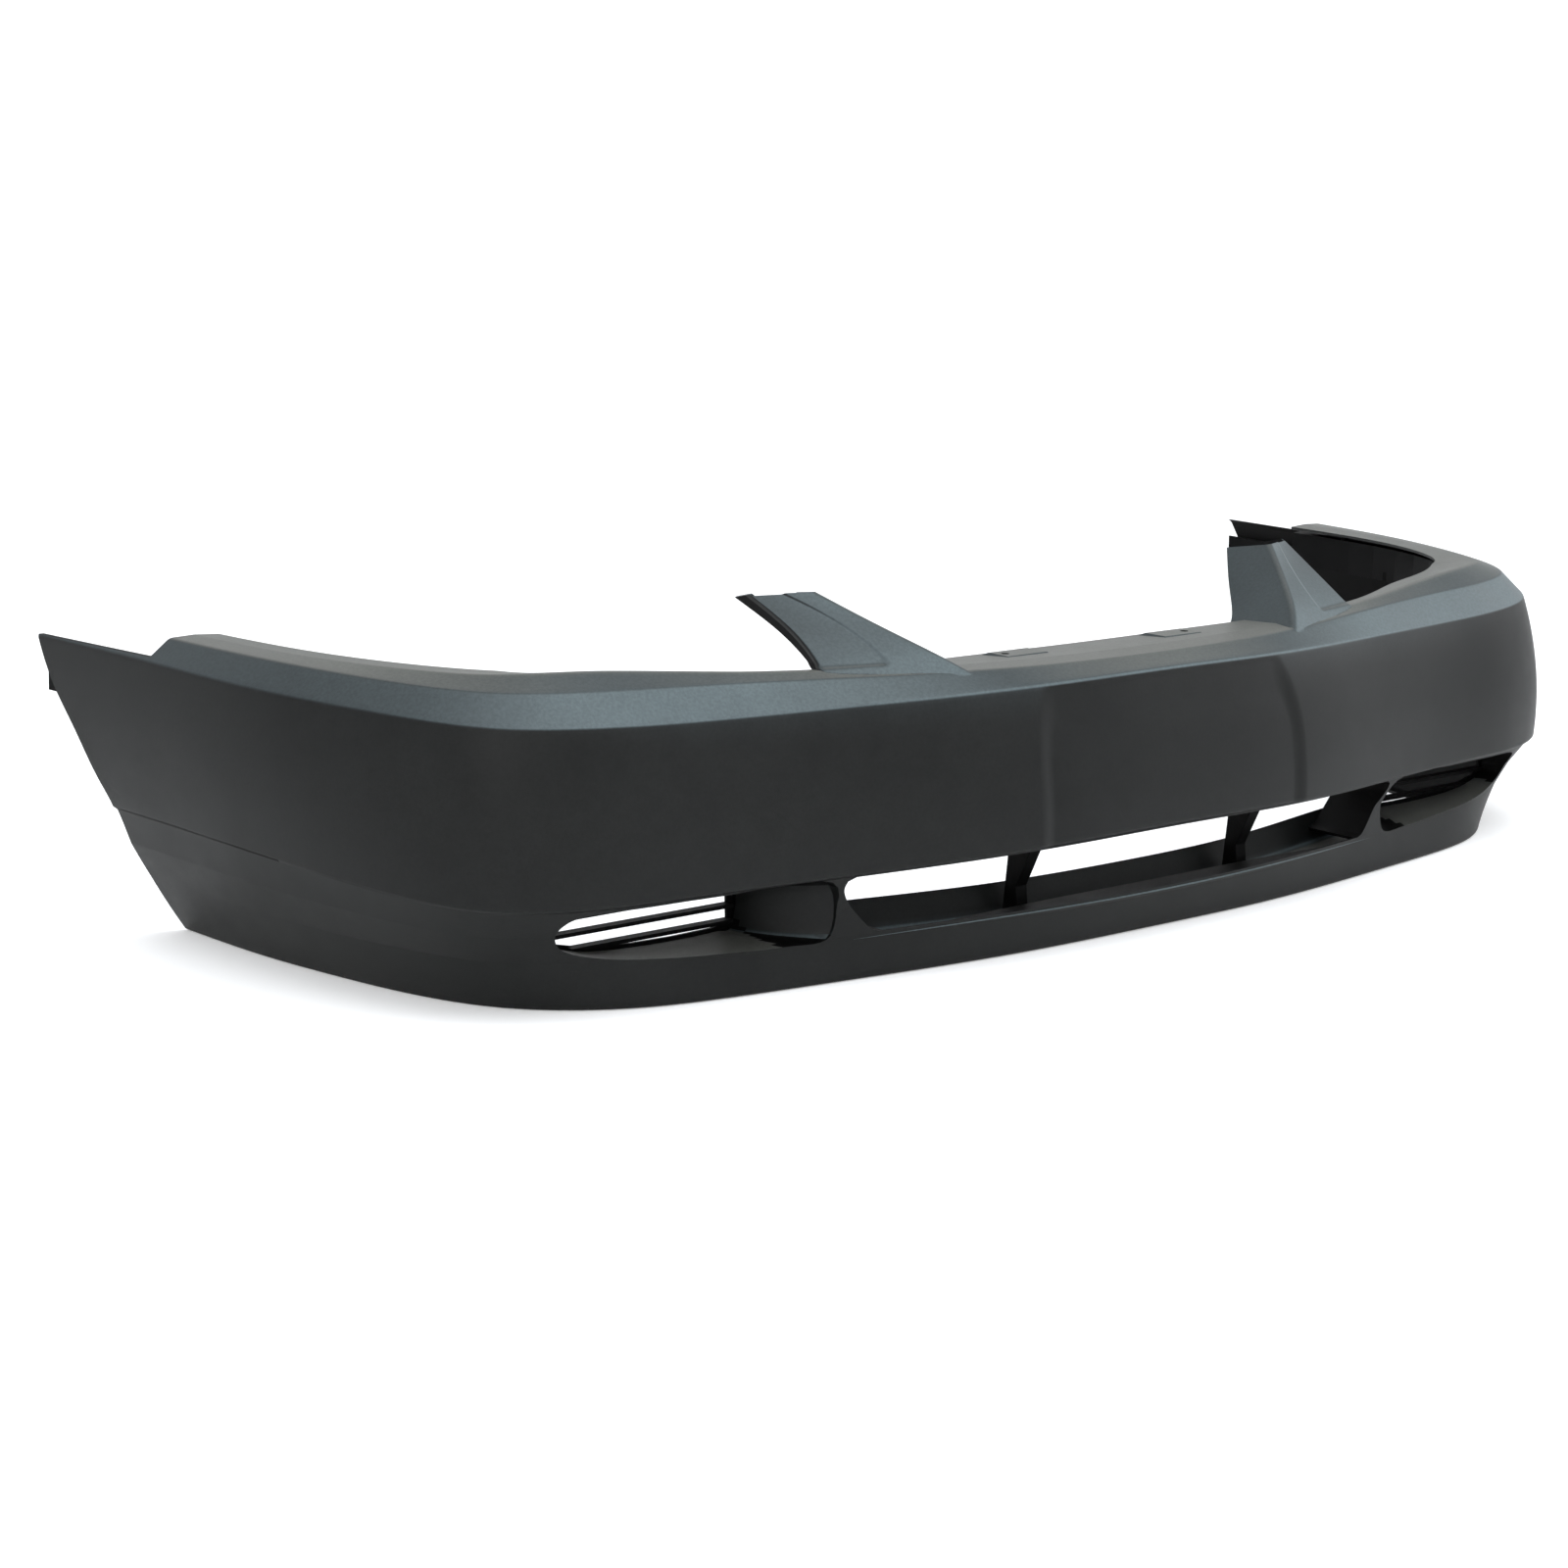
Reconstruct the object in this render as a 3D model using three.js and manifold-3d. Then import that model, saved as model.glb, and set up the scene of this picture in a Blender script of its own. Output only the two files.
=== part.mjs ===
// Front bumper cover of a two-door coupe: one moulded cover with louvre inserts, struts,
// brackets, screws and push rivets.  Millimetres, +Z up, front of the car towards -Y,
// +X is the car's left side.
import * as THREE from 'three';
import { mergeVertices } from 'three/addons/utils/BufferGeometryUtils.js';
import Module from 'manifold-3d';

const wasm = await Module();
wasm.setup();

// ---------------------------------------------------------------- driving dimensions
const WALL = 3.2;                 // moulded wall of the cover
const GAP = 0.35;                 // clearance between touching pieces
const STEPS = 3;                  // mesh columns between two stations
const FACE_SPLIT = [0.05, 0.08, 0.36, 0.68];  // mesh rows down the face
const FACE_BULGE = 9;             // outward swell of the face between ridge and lower edge
const TUCK_DEPTH = 12;            // how far the mouth sits behind the lower edge of the face
const LIP_RETURN = 20;            // width of the return along the bottom of the lip
const DECK_END_Y = 553;           // rear end of the headlamp deck
const PLATE_HALF = 0.94;          // half width of the sunk plate pad, in stations
const PLATE_DEPTH = 4;            // how far the plate pad is sunk
const CREASE_STEP = 4;            // step in the side panel below the crease
const LOUVER_Y = 143;             // depth of the louvre plane behind the front of the cover
const LOUVER_PITCH = 16;
const SLAT_THICK = 4;
const SLAT_DEPTH = 12;
const STRUT_X = 168;
const STRUT_HEAD_Y = 40;          // screw at the top of a strut
const STRUT_FOOT_Y = 54;          // screw at the foot of a strut

// Stations along one half of the cover, from the middle (x = 0) to the wheel arch.
const RIDGE = [
  [0, 7, 283], [200, 16, 280], [400, 55, 275], [560, 81, 274], [660, 92, 277],
  [765, 133, 281], [833, 236, 288], [878, 390, 294], [900, 570, 300], [917, 770, 303],
];
const LIP_BOTTOM = [
  [0, 19], [200, 23], [400, 45], [560, 69], [660, 104],
  [735, 170], [779, 270], [803, 385], [818, 500], [824, 660],
];
// Offsets across the cover at each station: [outward from the ridge, height].
const BEVEL_TOP = [
  [-30, 294], [-29, 296], [-28, 299], [-28, 303], [-28, 306],
  [-28, 309], [-28, 313], [-28, 318], [-28, 321], [-28, 322],
];
const DECK_CREST = [
  [-60, 296], [-60, 297], [-45, 304], [-52, 315], [-58, 322],
  [-60, 322], [-58, 321], [-56, 321], [-56, 322], [-56, 323],
];
const DECK_EDGE = [
  [-128, 293], [-124, 293], [-62, 303], [-88, 308], [-105, 312],
  [-112, 316], [-94, 319], [-84, 320], [-84, 320], [-84, 320],
];
const FACE_EDGE = [
  [33, 122], [33, 119], [32, 113], [30, 111], [26, 110],
  [22, 112], [10, 122], [-6, 131], [-14, 135], [-17, 136],
];
const LIP_TOP = [
  [6, 48], [4, 48], [4, 44], [2, 43], [-8, 48],
  [-22, 52], [-34, 54], [-44, 56], [-50, 58], [-54, 58],
];
const TUCK = [1, 1, 1, 1, 0.8, 0.4, 0.1, 0, 0, 0];
const CREASE = [0, 0, 0, 0, 0, 0, 0, 0.6, 1, 1];

// ---------------------------------------------------------------- small geometry helpers
const sub3 = (a, b) => [a[0] - b[0], a[1] - b[1], a[2] - b[2]];
const add3 = (a, b, k = 1) => [a[0] + b[0] * k, a[1] + b[1] * k, a[2] + b[2] * k];
const lerp3 = (a, b, t) => add3(a, sub3(b, a), t);
const cross3 = (a, b) => [
  a[1] * b[2] - a[2] * b[1],
  a[2] * b[0] - a[0] * b[2],
  a[0] * b[1] - a[1] * b[0],
];
const unit3 = (a) => {
  const n = Math.hypot(...a) || 1;
  return a.map((v) => v / n);
};

// Mirror a half table about the middle so that it runs from the right end to the left end.
const mirrored = (table, flip) => [
  ...table.slice(1).reverse().map((row) => row.map((v, i) => (i === 0 && flip ? -v : v))),
  ...table,
];

// Natural cubic spline through rows at unit spacing.
function spline(rows) {
  const n = rows.length;
  const dim = rows[0].length;
  const second = rows.map(() => new Array(dim).fill(0));
  for (let d = 0; d < dim; d += 1) {
    const c = new Array(n).fill(0);
    const r = new Array(n).fill(0);
    for (let i = 1; i < n - 1; i += 1) {
      const rhs = 6 * (rows[i + 1][d] - 2 * rows[i][d] + rows[i - 1][d]);
      const m = 4 - c[i - 1];
      c[i] = 1 / m;
      r[i] = (rhs - r[i - 1]) / m;
    }
    for (let i = n - 2; i > 0; i -= 1) second[i][d] = r[i] - c[i] * second[i + 1][d];
  }
  return (t) => {
    const k = Math.min(n - 2, Math.max(0, Math.floor(t)));
    const b = t - k;
    const a = 1 - b;
    return rows[k].map((v, d) => a * v + b * rows[k + 1][d]
      + ((a ** 3 - a) * second[k][d] + (b ** 3 - b) * second[k + 1][d]) / 6);
  };
}

const LAST = 2 * (RIDGE.length - 1);
const MIDDLE = LAST / 2;
const ridgeAt = spline(mirrored(RIDGE, true));
const lipAt = spline(mirrored(LIP_BOTTOM, true));
const bevelAt = spline(mirrored(BEVEL_TOP, false));
const crestAt = spline(mirrored(DECK_CREST, false));
const deckAt = spline(mirrored(DECK_EDGE, false));
const faceAt = spline(mirrored(FACE_EDGE, false));
const lipTopAt = spline(mirrored(LIP_TOP, false));
const tuckAt = spline(mirrored(TUCK.map((v) => [v]), false));
const creaseAt = spline(mirrored(CREASE.map((v) => [v]), false));

// Outward direction in plan at a station.
function outward(t) {
  const e = 0.01;
  const a = ridgeAt(Math.max(0, t - e));
  const b = ridgeAt(Math.min(LAST, t + e));
  return unit3([b[1] - a[1], a[0] - b[0], 0]);
}
const fromRidge = (t, [out, z]) => {
  const r = ridgeAt(t);
  const n = outward(t);
  return [r[0] + n[0] * out, r[1] + n[1] * out, z];
};

// One section of the outer skin, from the deck edge down to the return of the lip.
function section(t) {
  const ridge = ridgeAt(t);
  const face = fromRidge(t, faceAt(t));
  const lipTop = fromRidge(t, lipTopAt(t));
  const lip = [...lipAt(t), 0];
  const n = outward(t);
  const tuck = Math.max(0, tuckAt(t)[0]);
  const rows = [fromRidge(t, deckAt(t)), fromRidge(t, crestAt(t)), fromRidge(t, bevelAt(t)), ridge];
  const pad = Math.abs(t - MIDDLE) < PLATE_HALF ? PLATE_DEPTH : 0;
  for (const [k, s] of FACE_SPLIT.entries()) {
    const sunk = k > 0 ? pad : 0;
    rows.push(add3(lerp3(ridge, face, s), n, 4 * FACE_BULGE * s * (1 - s) - sunk));
  }
  rows.push(add3(face, n, -pad));
  const inset = TUCK_DEPTH * tuck + CREASE_STEP * Math.max(0, creaseAt(t)[0]);
  const under = add3(add3(face, n, -inset), [0, 0, -3 - tuck]);
  rows.push(under);
  const mid = add3(lerp3(under, lipTop, 0.5), n, -8 * tuck + 3 * (1 - tuck));
  rows.push(mid);
  rows.push(lipTop);
  rows.push(lip);
  rows.push(add3(lip, n, -LIP_RETURN));
  return rows;
}

// ---------------------------------------------------------------- solids
function toManifold(positions, indices) {
  return new wasm.Manifold(new wasm.Mesh({
    numProp: 3,
    vertProperties: new Float32Array(positions),
    triVerts: new Uint32Array(indices),
  }));
}

function geometryToManifold(geometry) {
  const g = geometry.clone();
  for (const name of Object.keys(g.attributes)) {
    if (name !== 'position') g.deleteAttribute(name);
  }
  const m = mergeVertices(g, 1e-4);
  return toManifold(m.attributes.position.array, m.index.array);
}

// A closed sheet whose outer side is the grid of points; `deep` is its thickness and
// `start` moves the outer side inwards.
function sheet(grid, deep, start = 0) {
  const cols = grid.length;
  const rows = grid[0].length;
  const at = (i, j) => grid[Math.min(cols - 1, Math.max(0, i))][Math.min(rows - 1, Math.max(0, j))];
  const positions = [];
  const inner = [];
  for (let i = 0; i < cols; i += 1) {
    for (let j = 0; j < rows; j += 1) {
      const p = at(i, j);
      const along = sub3(at(i + 1, j), at(i - 1, j));
      const up = unit3(sub3(at(i, j), at(i, j + 1)));
      const above = unit3(sub3(at(i, j - 1), at(i, j)));
      const n1 = unit3(cross3(along, j < rows - 1 ? up : above));
      const n2 = unit3(cross3(along, j > 0 ? above : up));
      const n = unit3(add3(n1, n2));
      const stretch = 1 / Math.max(0.5, n[0] * n1[0] + n[1] * n1[1] + n[2] * n1[2]);
      positions.push(...add3(p, n, -start * stretch));
      inner.push(...add3(p, n, -(start + deep) * stretch));
    }
  }
  const count = cols * rows;
  const all = [...positions, ...inner];
  const tris = [];
  const quad = (a, b, c, d) => tris.push(a, b, c, a, c, d);
  for (let i = 0; i < cols - 1; i += 1) {
    for (let j = 0; j < rows - 1; j += 1) {
      const a = i * rows + j;
      quad(a, a + 1, a + rows + 1, a + rows);
      quad(count + a, count + a + rows, count + a + rows + 1, count + a + 1);
    }
    const top = i * rows;
    const bottom = top + rows - 1;
    quad(top, top + rows, count + top + rows, count + top);
    quad(bottom, count + bottom, count + bottom + rows, bottom + rows);
  }
  for (let j = 0; j < rows - 1; j += 1) {
    const end = (cols - 1) * rows + j;
    quad(j, count + j, count + j + 1, j + 1);
    quad(end, end + 1, count + end + 1, count + end);
  }
  return toManifold(all, tris);
}

// A solid lofted through rings of points with equal counts; rings run along +Y and each
// ring is listed anticlockwise as seen from the front.
function loft(rings) {
  const n = rings[0].length;
  const positions = rings.flat(2);
  const tris = [];
  for (let r = 0; r < rings.length - 1; r += 1) {
    for (let k = 0; k < n; k += 1) {
      const a = r * n + k;
      const b = r * n + ((k + 1) % n);
      tris.push(a, a + n, b, b, a + n, b + n);
    }
  }
  const caps = (ring, base, flip) => {
    const flat = ring.map((p) => new THREE.Vector2(p[0], p[2]));
    for (const [a, b, c] of THREE.ShapeUtils.triangulateShape(flat, [])) {
      if (flip) tris.push(base + a, base + c, base + b);
      else tris.push(base + a, base + b, base + c);
    }
  };
  caps(rings[0], 0, false);
  caps(rings[rings.length - 1], (rings.length - 1) * n, true);
  return toManifold(positions, tris);
}

// Extrude an outline given in the plane of two axes along the third.
function prism(outline, axis, from, to) {
  const shape = new THREE.Shape(outline.map((p) => new THREE.Vector2(p[0], p[1])));
  const g = new THREE.ExtrudeGeometry(shape, { depth: to - from, bevelEnabled: false });
  g.translate(0, 0, from);
  if (axis === 'x') g.applyMatrix4(new THREE.Matrix4().set(0, 0, 1, 0, 1, 0, 0, 0, 0, 1, 0, 0, 0, 0, 0, 1));
  if (axis === 'y') g.applyMatrix4(new THREE.Matrix4().set(1, 0, 0, 0, 0, 0, -1, 0, 0, 1, 0, 0, 0, 0, 0, 1));
  return geometryToManifold(g);
}
const alongY = (outline, from, to) => prism(outline, 'y', -to, -from);

function box(x0, x1, y0, y1, z0, z1) {
  const g = new THREE.BoxGeometry(x1 - x0, y1 - y0, z1 - z0);
  g.translate((x0 + x1) / 2, (y0 + y1) / 2, (z0 + z1) / 2);
  return geometryToManifold(g);
}

function cylinder(radius, from, to, sides = 12) {
  const dir = new THREE.Vector3(...sub3(to, from));
  const g = new THREE.CylinderGeometry(radius, radius, dir.length(), sides);
  g.rotateX(Math.PI / 2);
  const q = new THREE.Quaternion().setFromUnitVectors(new THREE.Vector3(0, 0, 1), dir.clone().normalize());
  g.applyQuaternion(q);
  g.translate(...lerp3(from, to, 0.5));
  return geometryToManifold(g);
}

// Grow or shrink a closed outline by a constant distance.
function grow(outline, d) {
  const n = outline.length;
  return outline.map((p, i) => {
    const a = outline[(i + n - 1) % n];
    const b = outline[(i + 1) % n];
    const e1 = unit3([p[0] - a[0], p[1] - a[1], 0]);
    const e2 = unit3([b[0] - p[0], b[1] - p[1], 0]);
    const m = unit3([e1[1] + e2[1], -e1[0] - e2[0], 0]);
    const k = d / Math.max(0.5, m[0] * e1[1] - m[1] * e1[0]);
    return [p[0] + m[0] * k, p[1] + m[1] * k];
  });
}

const union = (...solids) => solids.reduce((a, b) => a.add(b));
const flipX = (outline, side) => (side > 0 ? outline : outline.map((p) => [-p[0], p[1]]).reverse());
const ring = (outline, y) => outline.map((p) => [p[0], y, p[1]]);
const AHEAD_Y = -90;              // in front of everything, where cuts start

// ---------------------------------------------------------------- the cover
const PLATE_EDGE = 0.015;
const skinStations = [
  ...Array.from({ length: LAST * STEPS + 1 }, (_, i) => i / STEPS),
  ...[-1, 1].flatMap((side) => [-1, 1].map((k) => MIDDLE + side * (PLATE_HALF + k * PLATE_EDGE))),
].sort((a, b) => a - b);
const skin = skinStations.map(section);

// Height of a skin row over x on the front of the cover, used to lay out the openings.
function heightOver(x, row) {
  const line = skin.map((s) => s[row]);
  const k = line.findIndex((p, i) => i > 0 && p[0] >= x);
  const a = line[k - 1];
  const b = line[k];
  return a[2] + ((b[2] - a[2]) * (x - a[0])) / (b[0] - a[0]);
}
const ROW_FACE = 4 + FACE_SPLIT.length;
const ROW_UNDER = ROW_FACE + 1;
const ROW_LIP_TOP = ROW_FACE + 3;

const MOUTH_TOP_X = 414;
const MOUTH_BOTTOM_X = 372;
const MOUTH_END = [[MOUTH_BOTTOM_X + 12, 58], [MOUTH_TOP_X - 5, 86]];  // corner points at one end
const MOUTH_STEPS = 6;
function mouthOutline() {
  const top = [];
  const bottom = [];
  for (let x = -MOUTH_TOP_X; x <= MOUTH_TOP_X; x += MOUTH_TOP_X / MOUTH_STEPS) {
    top.push([x, heightOver(x, ROW_UNDER) - 1]);
  }
  for (let x = -MOUTH_BOTTOM_X; x <= MOUTH_BOTTOM_X + 1; x += MOUTH_BOTTOM_X / MOUTH_STEPS) {
    bottom.push([x, heightOver(x, ROW_LIP_TOP) + 1]);
  }
  const right = MOUTH_END.map(([x, z]) => [-x, z]).reverse();
  return [...bottom, ...MOUTH_END, ...top.reverse(), ...right];
}

// Fog-lamp side pocket: outline at the skin and outline at the louvre plane.
const POCKET_FRONT = [
  [420, 48], [470, 41], [530, 42], [600, 46], [665, 53], [706, 64],
  [722, 78], [720, 92], [690, 102], [620, 104], [550, 105], [430, 105],
];
const POCKET_REAR = [
  [478, 50], [500, 46], [550, 45], [600, 46], [655, 50], [698, 60],
  [712, 74], [710, 90], [698, 100], [620, 102], [550, 102], [480, 100],
];
const POCKET_FRONT_Y = 60;
const FLANGE = 12;

function pocketLoft(side, extra, yEnd) {
  const front = flipX(grow(POCKET_FRONT, extra), side);
  const rear = flipX(grow(POCKET_REAR, extra), side);
  return loft([
    ring(front, AHEAD_Y), ring(front, POCKET_FRONT_Y),
    ring(rear, LOUVER_Y - WALL), ring(rear, yEnd),
  ]);
}

// Everything behind the middle of the wall, used to trim walls that hang off the skin.
const FRONT_STATIONS = 5.5;
const ROW_RIDGE = 3;
const front = skin.filter((_, i) => Math.abs(skinStations[i] - MIDDLE) <= FRONT_STATIONS)
  .map((s) => s.slice(ROW_RIDGE));
function behindSkin(depth) {
  const cols = front.length;
  const rows = front[0].length;
  const outer = front.flat().map((p) => add3(p, [0, WALL / 2, 0]));
  const rear = front.flat().map((p) => add3(p, [0, depth, 0]));
  const count = outer.length;
  const tris = [];
  const quad = (a, b, c, d) => tris.push(a, b, c, a, c, d);
  for (let i = 0; i < cols - 1; i += 1) {
    for (let j = 0; j < rows - 1; j += 1) {
      const a = i * rows + j;
      quad(a, a + 1, a + rows + 1, a + rows);
      quad(count + a, count + a + rows, count + a + rows + 1, count + a + 1);
    }
    const bottom = i * rows + rows - 1;
    quad(i * rows, (i + 1) * rows, count + (i + 1) * rows, count + i * rows);
    quad(bottom, count + bottom, count + bottom + rows, bottom + rows);
  }
  for (let j = 0; j < rows - 1; j += 1) {
    const end = (cols - 1) * rows + j;
    quad(j, count + j, count + j + 1, j + 1);
    quad(end, end + 1, count + end + 1, count + end);
  }
  return toManifold([...outer, ...rear].flat(), tris);
}

// Gutter behind the lip, between the two ends of the mouth: how far behind the lip each of
// its lines runs, and how much shorter than the lip it is.
const GUTTER_Z = 28;
const GUTTER_TOP_Z = 61;
const GUTTER_HALF = 430;
const GUTTER_LINES = [
  { back: 74, scale: 0.97, z: GUTTER_TOP_Z },
  { back: 62, scale: 0.98, z: GUTTER_Z },
  { back: 20, scale: 0.99, z: GUTTER_Z },
];
function gutter() {
  const grid = skin.filter((s) => Math.abs(s[ROW_LIP_TOP][0]) < GUTTER_HALF).map((s) => {
    const [x, y, z] = s[ROW_LIP_TOP];
    const lines = GUTTER_LINES.map((line) => [x * line.scale, y + line.back, line.z]);
    return [...lines, [x, y + WALL / 2, z - 1]];
  });
  return sheet(grid, WALL);
}

// Grille prong beside the headlamp: front skin, deep wall towards the grille and a short
// wall towards the headlamp.
const PRONG_INNER = [[236, 42, 291], [268, 74, 314], [304, 121, 340], [342, 175, 370]];
const PRONG_OUTER = [[406, 76, 286], [399, 106, 310], [397, 150, 339], [405, 206, 368]];
// How each wall runs back from the edge of the front skin, row by row.
const PRONG_INNER_WALL = [[-6, 96, -10], [-12, 78, -16], [-16, 66, -14], [-16, 52, -8]];
const PRONG_OUTER_WALL = [[-4, 16, 0], [-4, 16, -6], [-4, 22, -8], [-3, 30, -7]];
function prong(side) {
  const place = (p) => [p[0] * side, p[1], p[2]];
  const across = [0, 0.25, 0.5, 0.75, 1];
  const faceGrid = across.map((s) => PRONG_INNER.map((p, k) => place(lerp3(p, PRONG_OUTER[k], s))));
  const wall = (edge, runs) => [0, 1].map((s) => edge.map((p, k) => place(add3(p, runs[k], s))));
  const wallGrid = wall(PRONG_INNER, PRONG_INNER_WALL);
  const lampGrid = wall(PRONG_OUTER, PRONG_OUTER_WALL);
  const order = (grid, flip) => {
    const rows = grid.map((c) => [...c].reverse());
    return (side > 0) === flip ? rows.reverse() : rows;
  };
  return union(
    sheet(order(faceGrid, false), WALL),
    sheet(order(wallGrid, true), WALL),
    sheet(order(lampGrid, false), WALL),
  );
}

// Rear edge of the side panel, which follows the wheel arch.
const ARCH = [
  [750, 304], [717, 254], [684, 212], [659, 168], [643, 138], [639, 104], [634, 60],
  [617, -5], [900, -5], [900, 304],
];

// A turned solid: profile of [radius, distance] closed on the axis or on itself, standing
// at `at` with its axis along `dir`.
function turned(profile, at, dir, sides = 12) {
  const g = new THREE.LatheGeometry(profile.map((p) => new THREE.Vector2(p[0], p[1])), sides);
  const q = new THREE.Quaternion()
    .setFromUnitVectors(new THREE.Vector3(0, 1, 0), new THREE.Vector3(...dir).normalize());
  g.applyQuaternion(q);
  g.translate(...at);
  return geometryToManifold(g);
}

// Ears that carry the rivets of a louvre insert: [x, z] on the left side.
const EARS = [[520, 116], [652, 116], [585, 31]];
const EAR_RADIUS = 10;
const RIVET_HOLE = 4;
function louverPlate(side, outline, y0, y1) {
  let plate = alongY(flipX(outline, side), y0, y1);
  for (const [x, z] of EARS) {
    plate = plate.add(cylinder(EAR_RADIUS, [x * side, y0, z], [x * side, y1, z], 16));
  }
  for (const [x, z] of EARS) {
    plate = plate.subtract(cylinder(RIVET_HOLE, [x * side, y0 - 1, z], [x * side, y1 + 1, z]));
  }
  return plate;
}

// Bosses and the screws that go into them.
const BOSS_RADIUS = 5.5;
const BOSS_LENGTH = 6;
const BOSS_BORE = 2.3;
const SCREW_SHANK = 1.9;
const SCREW_HEAD = 4.6;
const BRACKET_WALL = 2.5;

// Point on the skin and its outward normal, at a station and a fraction between two rows.
function skinPoint(t, row, s) {
  const e = 0.02;
  const rows = section(t);
  const p = lerp3(rows[row], rows[row + 1], s);
  const along = sub3(
    lerp3(section(t + e)[row], section(t + e)[row + 1], s),
    lerp3(section(t - e)[row], section(t - e)[row + 1], s),
  );
  return { p, n: unit3(cross3(along, unit3(sub3(rows[row], rows[row + 1])))) };
}
const stationOf = (side, t) => MIDDLE + side * t;

// Screw positions: headlamp bracket under the deck, fender bracket inside the side panel.
const LAMP_SCREWS = [3.7, 5.4, 7.4];
const FENDER_SCREWS = [8.3, 8.72];
const lampSpot = (side, t) => skinPoint(stationOf(side, t), 0, 0.62);
const FENDER_ROW = 5;             // skin row the fender bracket lies behind
const fenderSpot = (side, t) => skinPoint(stationOf(side, t), FENDER_ROW, 0.55);

function boss({ p, n }) {
  const solid = cylinder(BOSS_RADIUS, add3(p, n, -1.5), add3(p, n, -WALL - BOSS_LENGTH));
  const bore = cylinder(BOSS_BORE, add3(p, n, -WALL), add3(p, n, -WALL - BOSS_LENGTH - 5), 10);
  return { solid, bore };
}

function screwSolid(at, dir, length) {
  const profile = [
    [0, -length], [SCREW_SHANK, -length + 1.5], [SCREW_SHANK, 0],
    [SCREW_HEAD, 0], [SCREW_HEAD, 1.4], [3.2, 2.6], [1.3, 2.6], [1.3, 1.4], [0, 1.4],
  ];
  return turned(profile, at, dir);
}

// Flat seats on the grille shelf, with a bolt hole at the outer end.
const SEAT = {
  x: 118, y: 98, wide: 56, deep: 30, low: 291.5, top: 295.6, boltOut: 18, boltRadius: 4.5,
};

// Struts: side profile in [y, z] between the foot in the gutter and the return above.
const MOUTH_RETURN = 62;
const mouthTopZ = () => heightOver(STRUT_X, ROW_UNDER) - 1;
const STRUT_BORE = 2.5;

// The walls round the mouth keep a deep return only in the middle and at the ends: boxes
// cleared from them, as [x, x, y, y, z, z].
const CORE_DEPTH = 140;
const MOUTH_BACK = 260;
const MOUTH_TRIMS = [
  [-360, 360, 30, 300, 20, 90],
  [-MOUTH_TOP_X - 9, MOUTH_TOP_X + 9, 118, 300, 0, 200],
  [-360, -215, 34, 300, 90, 200],
  [215, 360, 34, 300, 90, 200],
  [-216, 216, MOUTH_RETURN, 300, 90, 200],
];
const MOUTH_SKIN = [-600, 600, -100, 70, 0, 200];    // zone where the mouth opens the skin
const POCKET_REAR_ZONE = [[400, 800], [129, 145], [30, 120]];
const PANEL_TOP_Z = 303.6;                           // side panel behind the headlamp deck

// Seat for the grille carrier on the shelf of the cover.
function seatAt(side) {
  const x = SEAT.x * side;
  const y = SEAT.y + SEAT.deep / 2;
  const bolt = x + side * SEAT.boltOut;
  const half = SEAT.wide / 2;
  return {
    pad: box(x - half, x + half, SEAT.y, SEAT.y + SEAT.deep, SEAT.low, SEAT.top),
    hole: cylinder(SEAT.boltRadius, [bolt, y, SEAT.low - 12], [bolt, y, SEAT.top + 14]),
  };
}

function coverShell() {
  let shell = sheet(skin, WALL);
  const core = behindSkin(CORE_DEPTH);
  const mouth = mouthOutline();
  const mouthCut = loft([ring(mouth, AHEAD_Y), ring(mouth, MOUTH_BACK)]);
  const rim = grow(mouth, WALL);
  const mouthOuter = loft([ring(rim, AHEAD_Y), ring(rim, MOUTH_BACK)]);
  const mouthWalls = MOUTH_TRIMS.reduce(
    (walls, trim) => walls.subtract(box(...trim)),
    mouthOuter.subtract(mouthCut).intersect(core),
  );
  shell = shell.add(mouthWalls).add(gutter());
  for (const side of [-1, 1]) {
    const cut = pocketLoft(side, 0, LOUVER_Y + 2);
    const walls = pocketLoft(side, WALL, LOUVER_Y).subtract(cut);
    const [across, deep, high] = POCKET_REAR_ZONE;
    const span = across.map((x) => x * side).sort((a, b) => a - b);
    const rearZone = box(...span, ...deep, ...high);
    const flange = louverPlate(side, grow(POCKET_REAR, FLANGE), LOUVER_Y - WALL, LOUVER_Y);
    shell = shell.add(walls.intersect(core.add(rearZone)));
    shell = shell.add(flange).subtract(cut);
  }
  shell = shell.subtract(mouthCut.intersect(box(...MOUTH_SKIN)));
  for (const side of [-1, 1]) {
    shell = shell.add(prong(side));
    const { pad, hole } = seatAt(side);
    shell = shell.add(pad).subtract(hole);
    const spots = [
      ...LAMP_SCREWS.map((t) => lampSpot(side, t)),
      ...FENDER_SCREWS.map((t) => fenderSpot(side, t)),
    ];
    for (const spot of spots) {
      const { solid, bore } = boss(spot);
      shell = shell.add(solid).subtract(bore);
    }
    for (const y of [STRUT_HEAD_Y, STRUT_FOOT_Y]) {
      const z = y === STRUT_HEAD_Y ? mouthTopZ() : GUTTER_Z - WALL;
      const x = STRUT_X * side;
      shell = shell.subtract(cylinder(STRUT_BORE, [x, y, z - 1], [x, y, z + 5], 10));
    }
  }
  const wide = 1200;
  shell = shell.subtract(box(-wide, wide, DECK_END_Y, 900, PANEL_TOP_Z, 400));
  return shell.subtract(prism(ARCH, 'x', -wide, wide));
}

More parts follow.
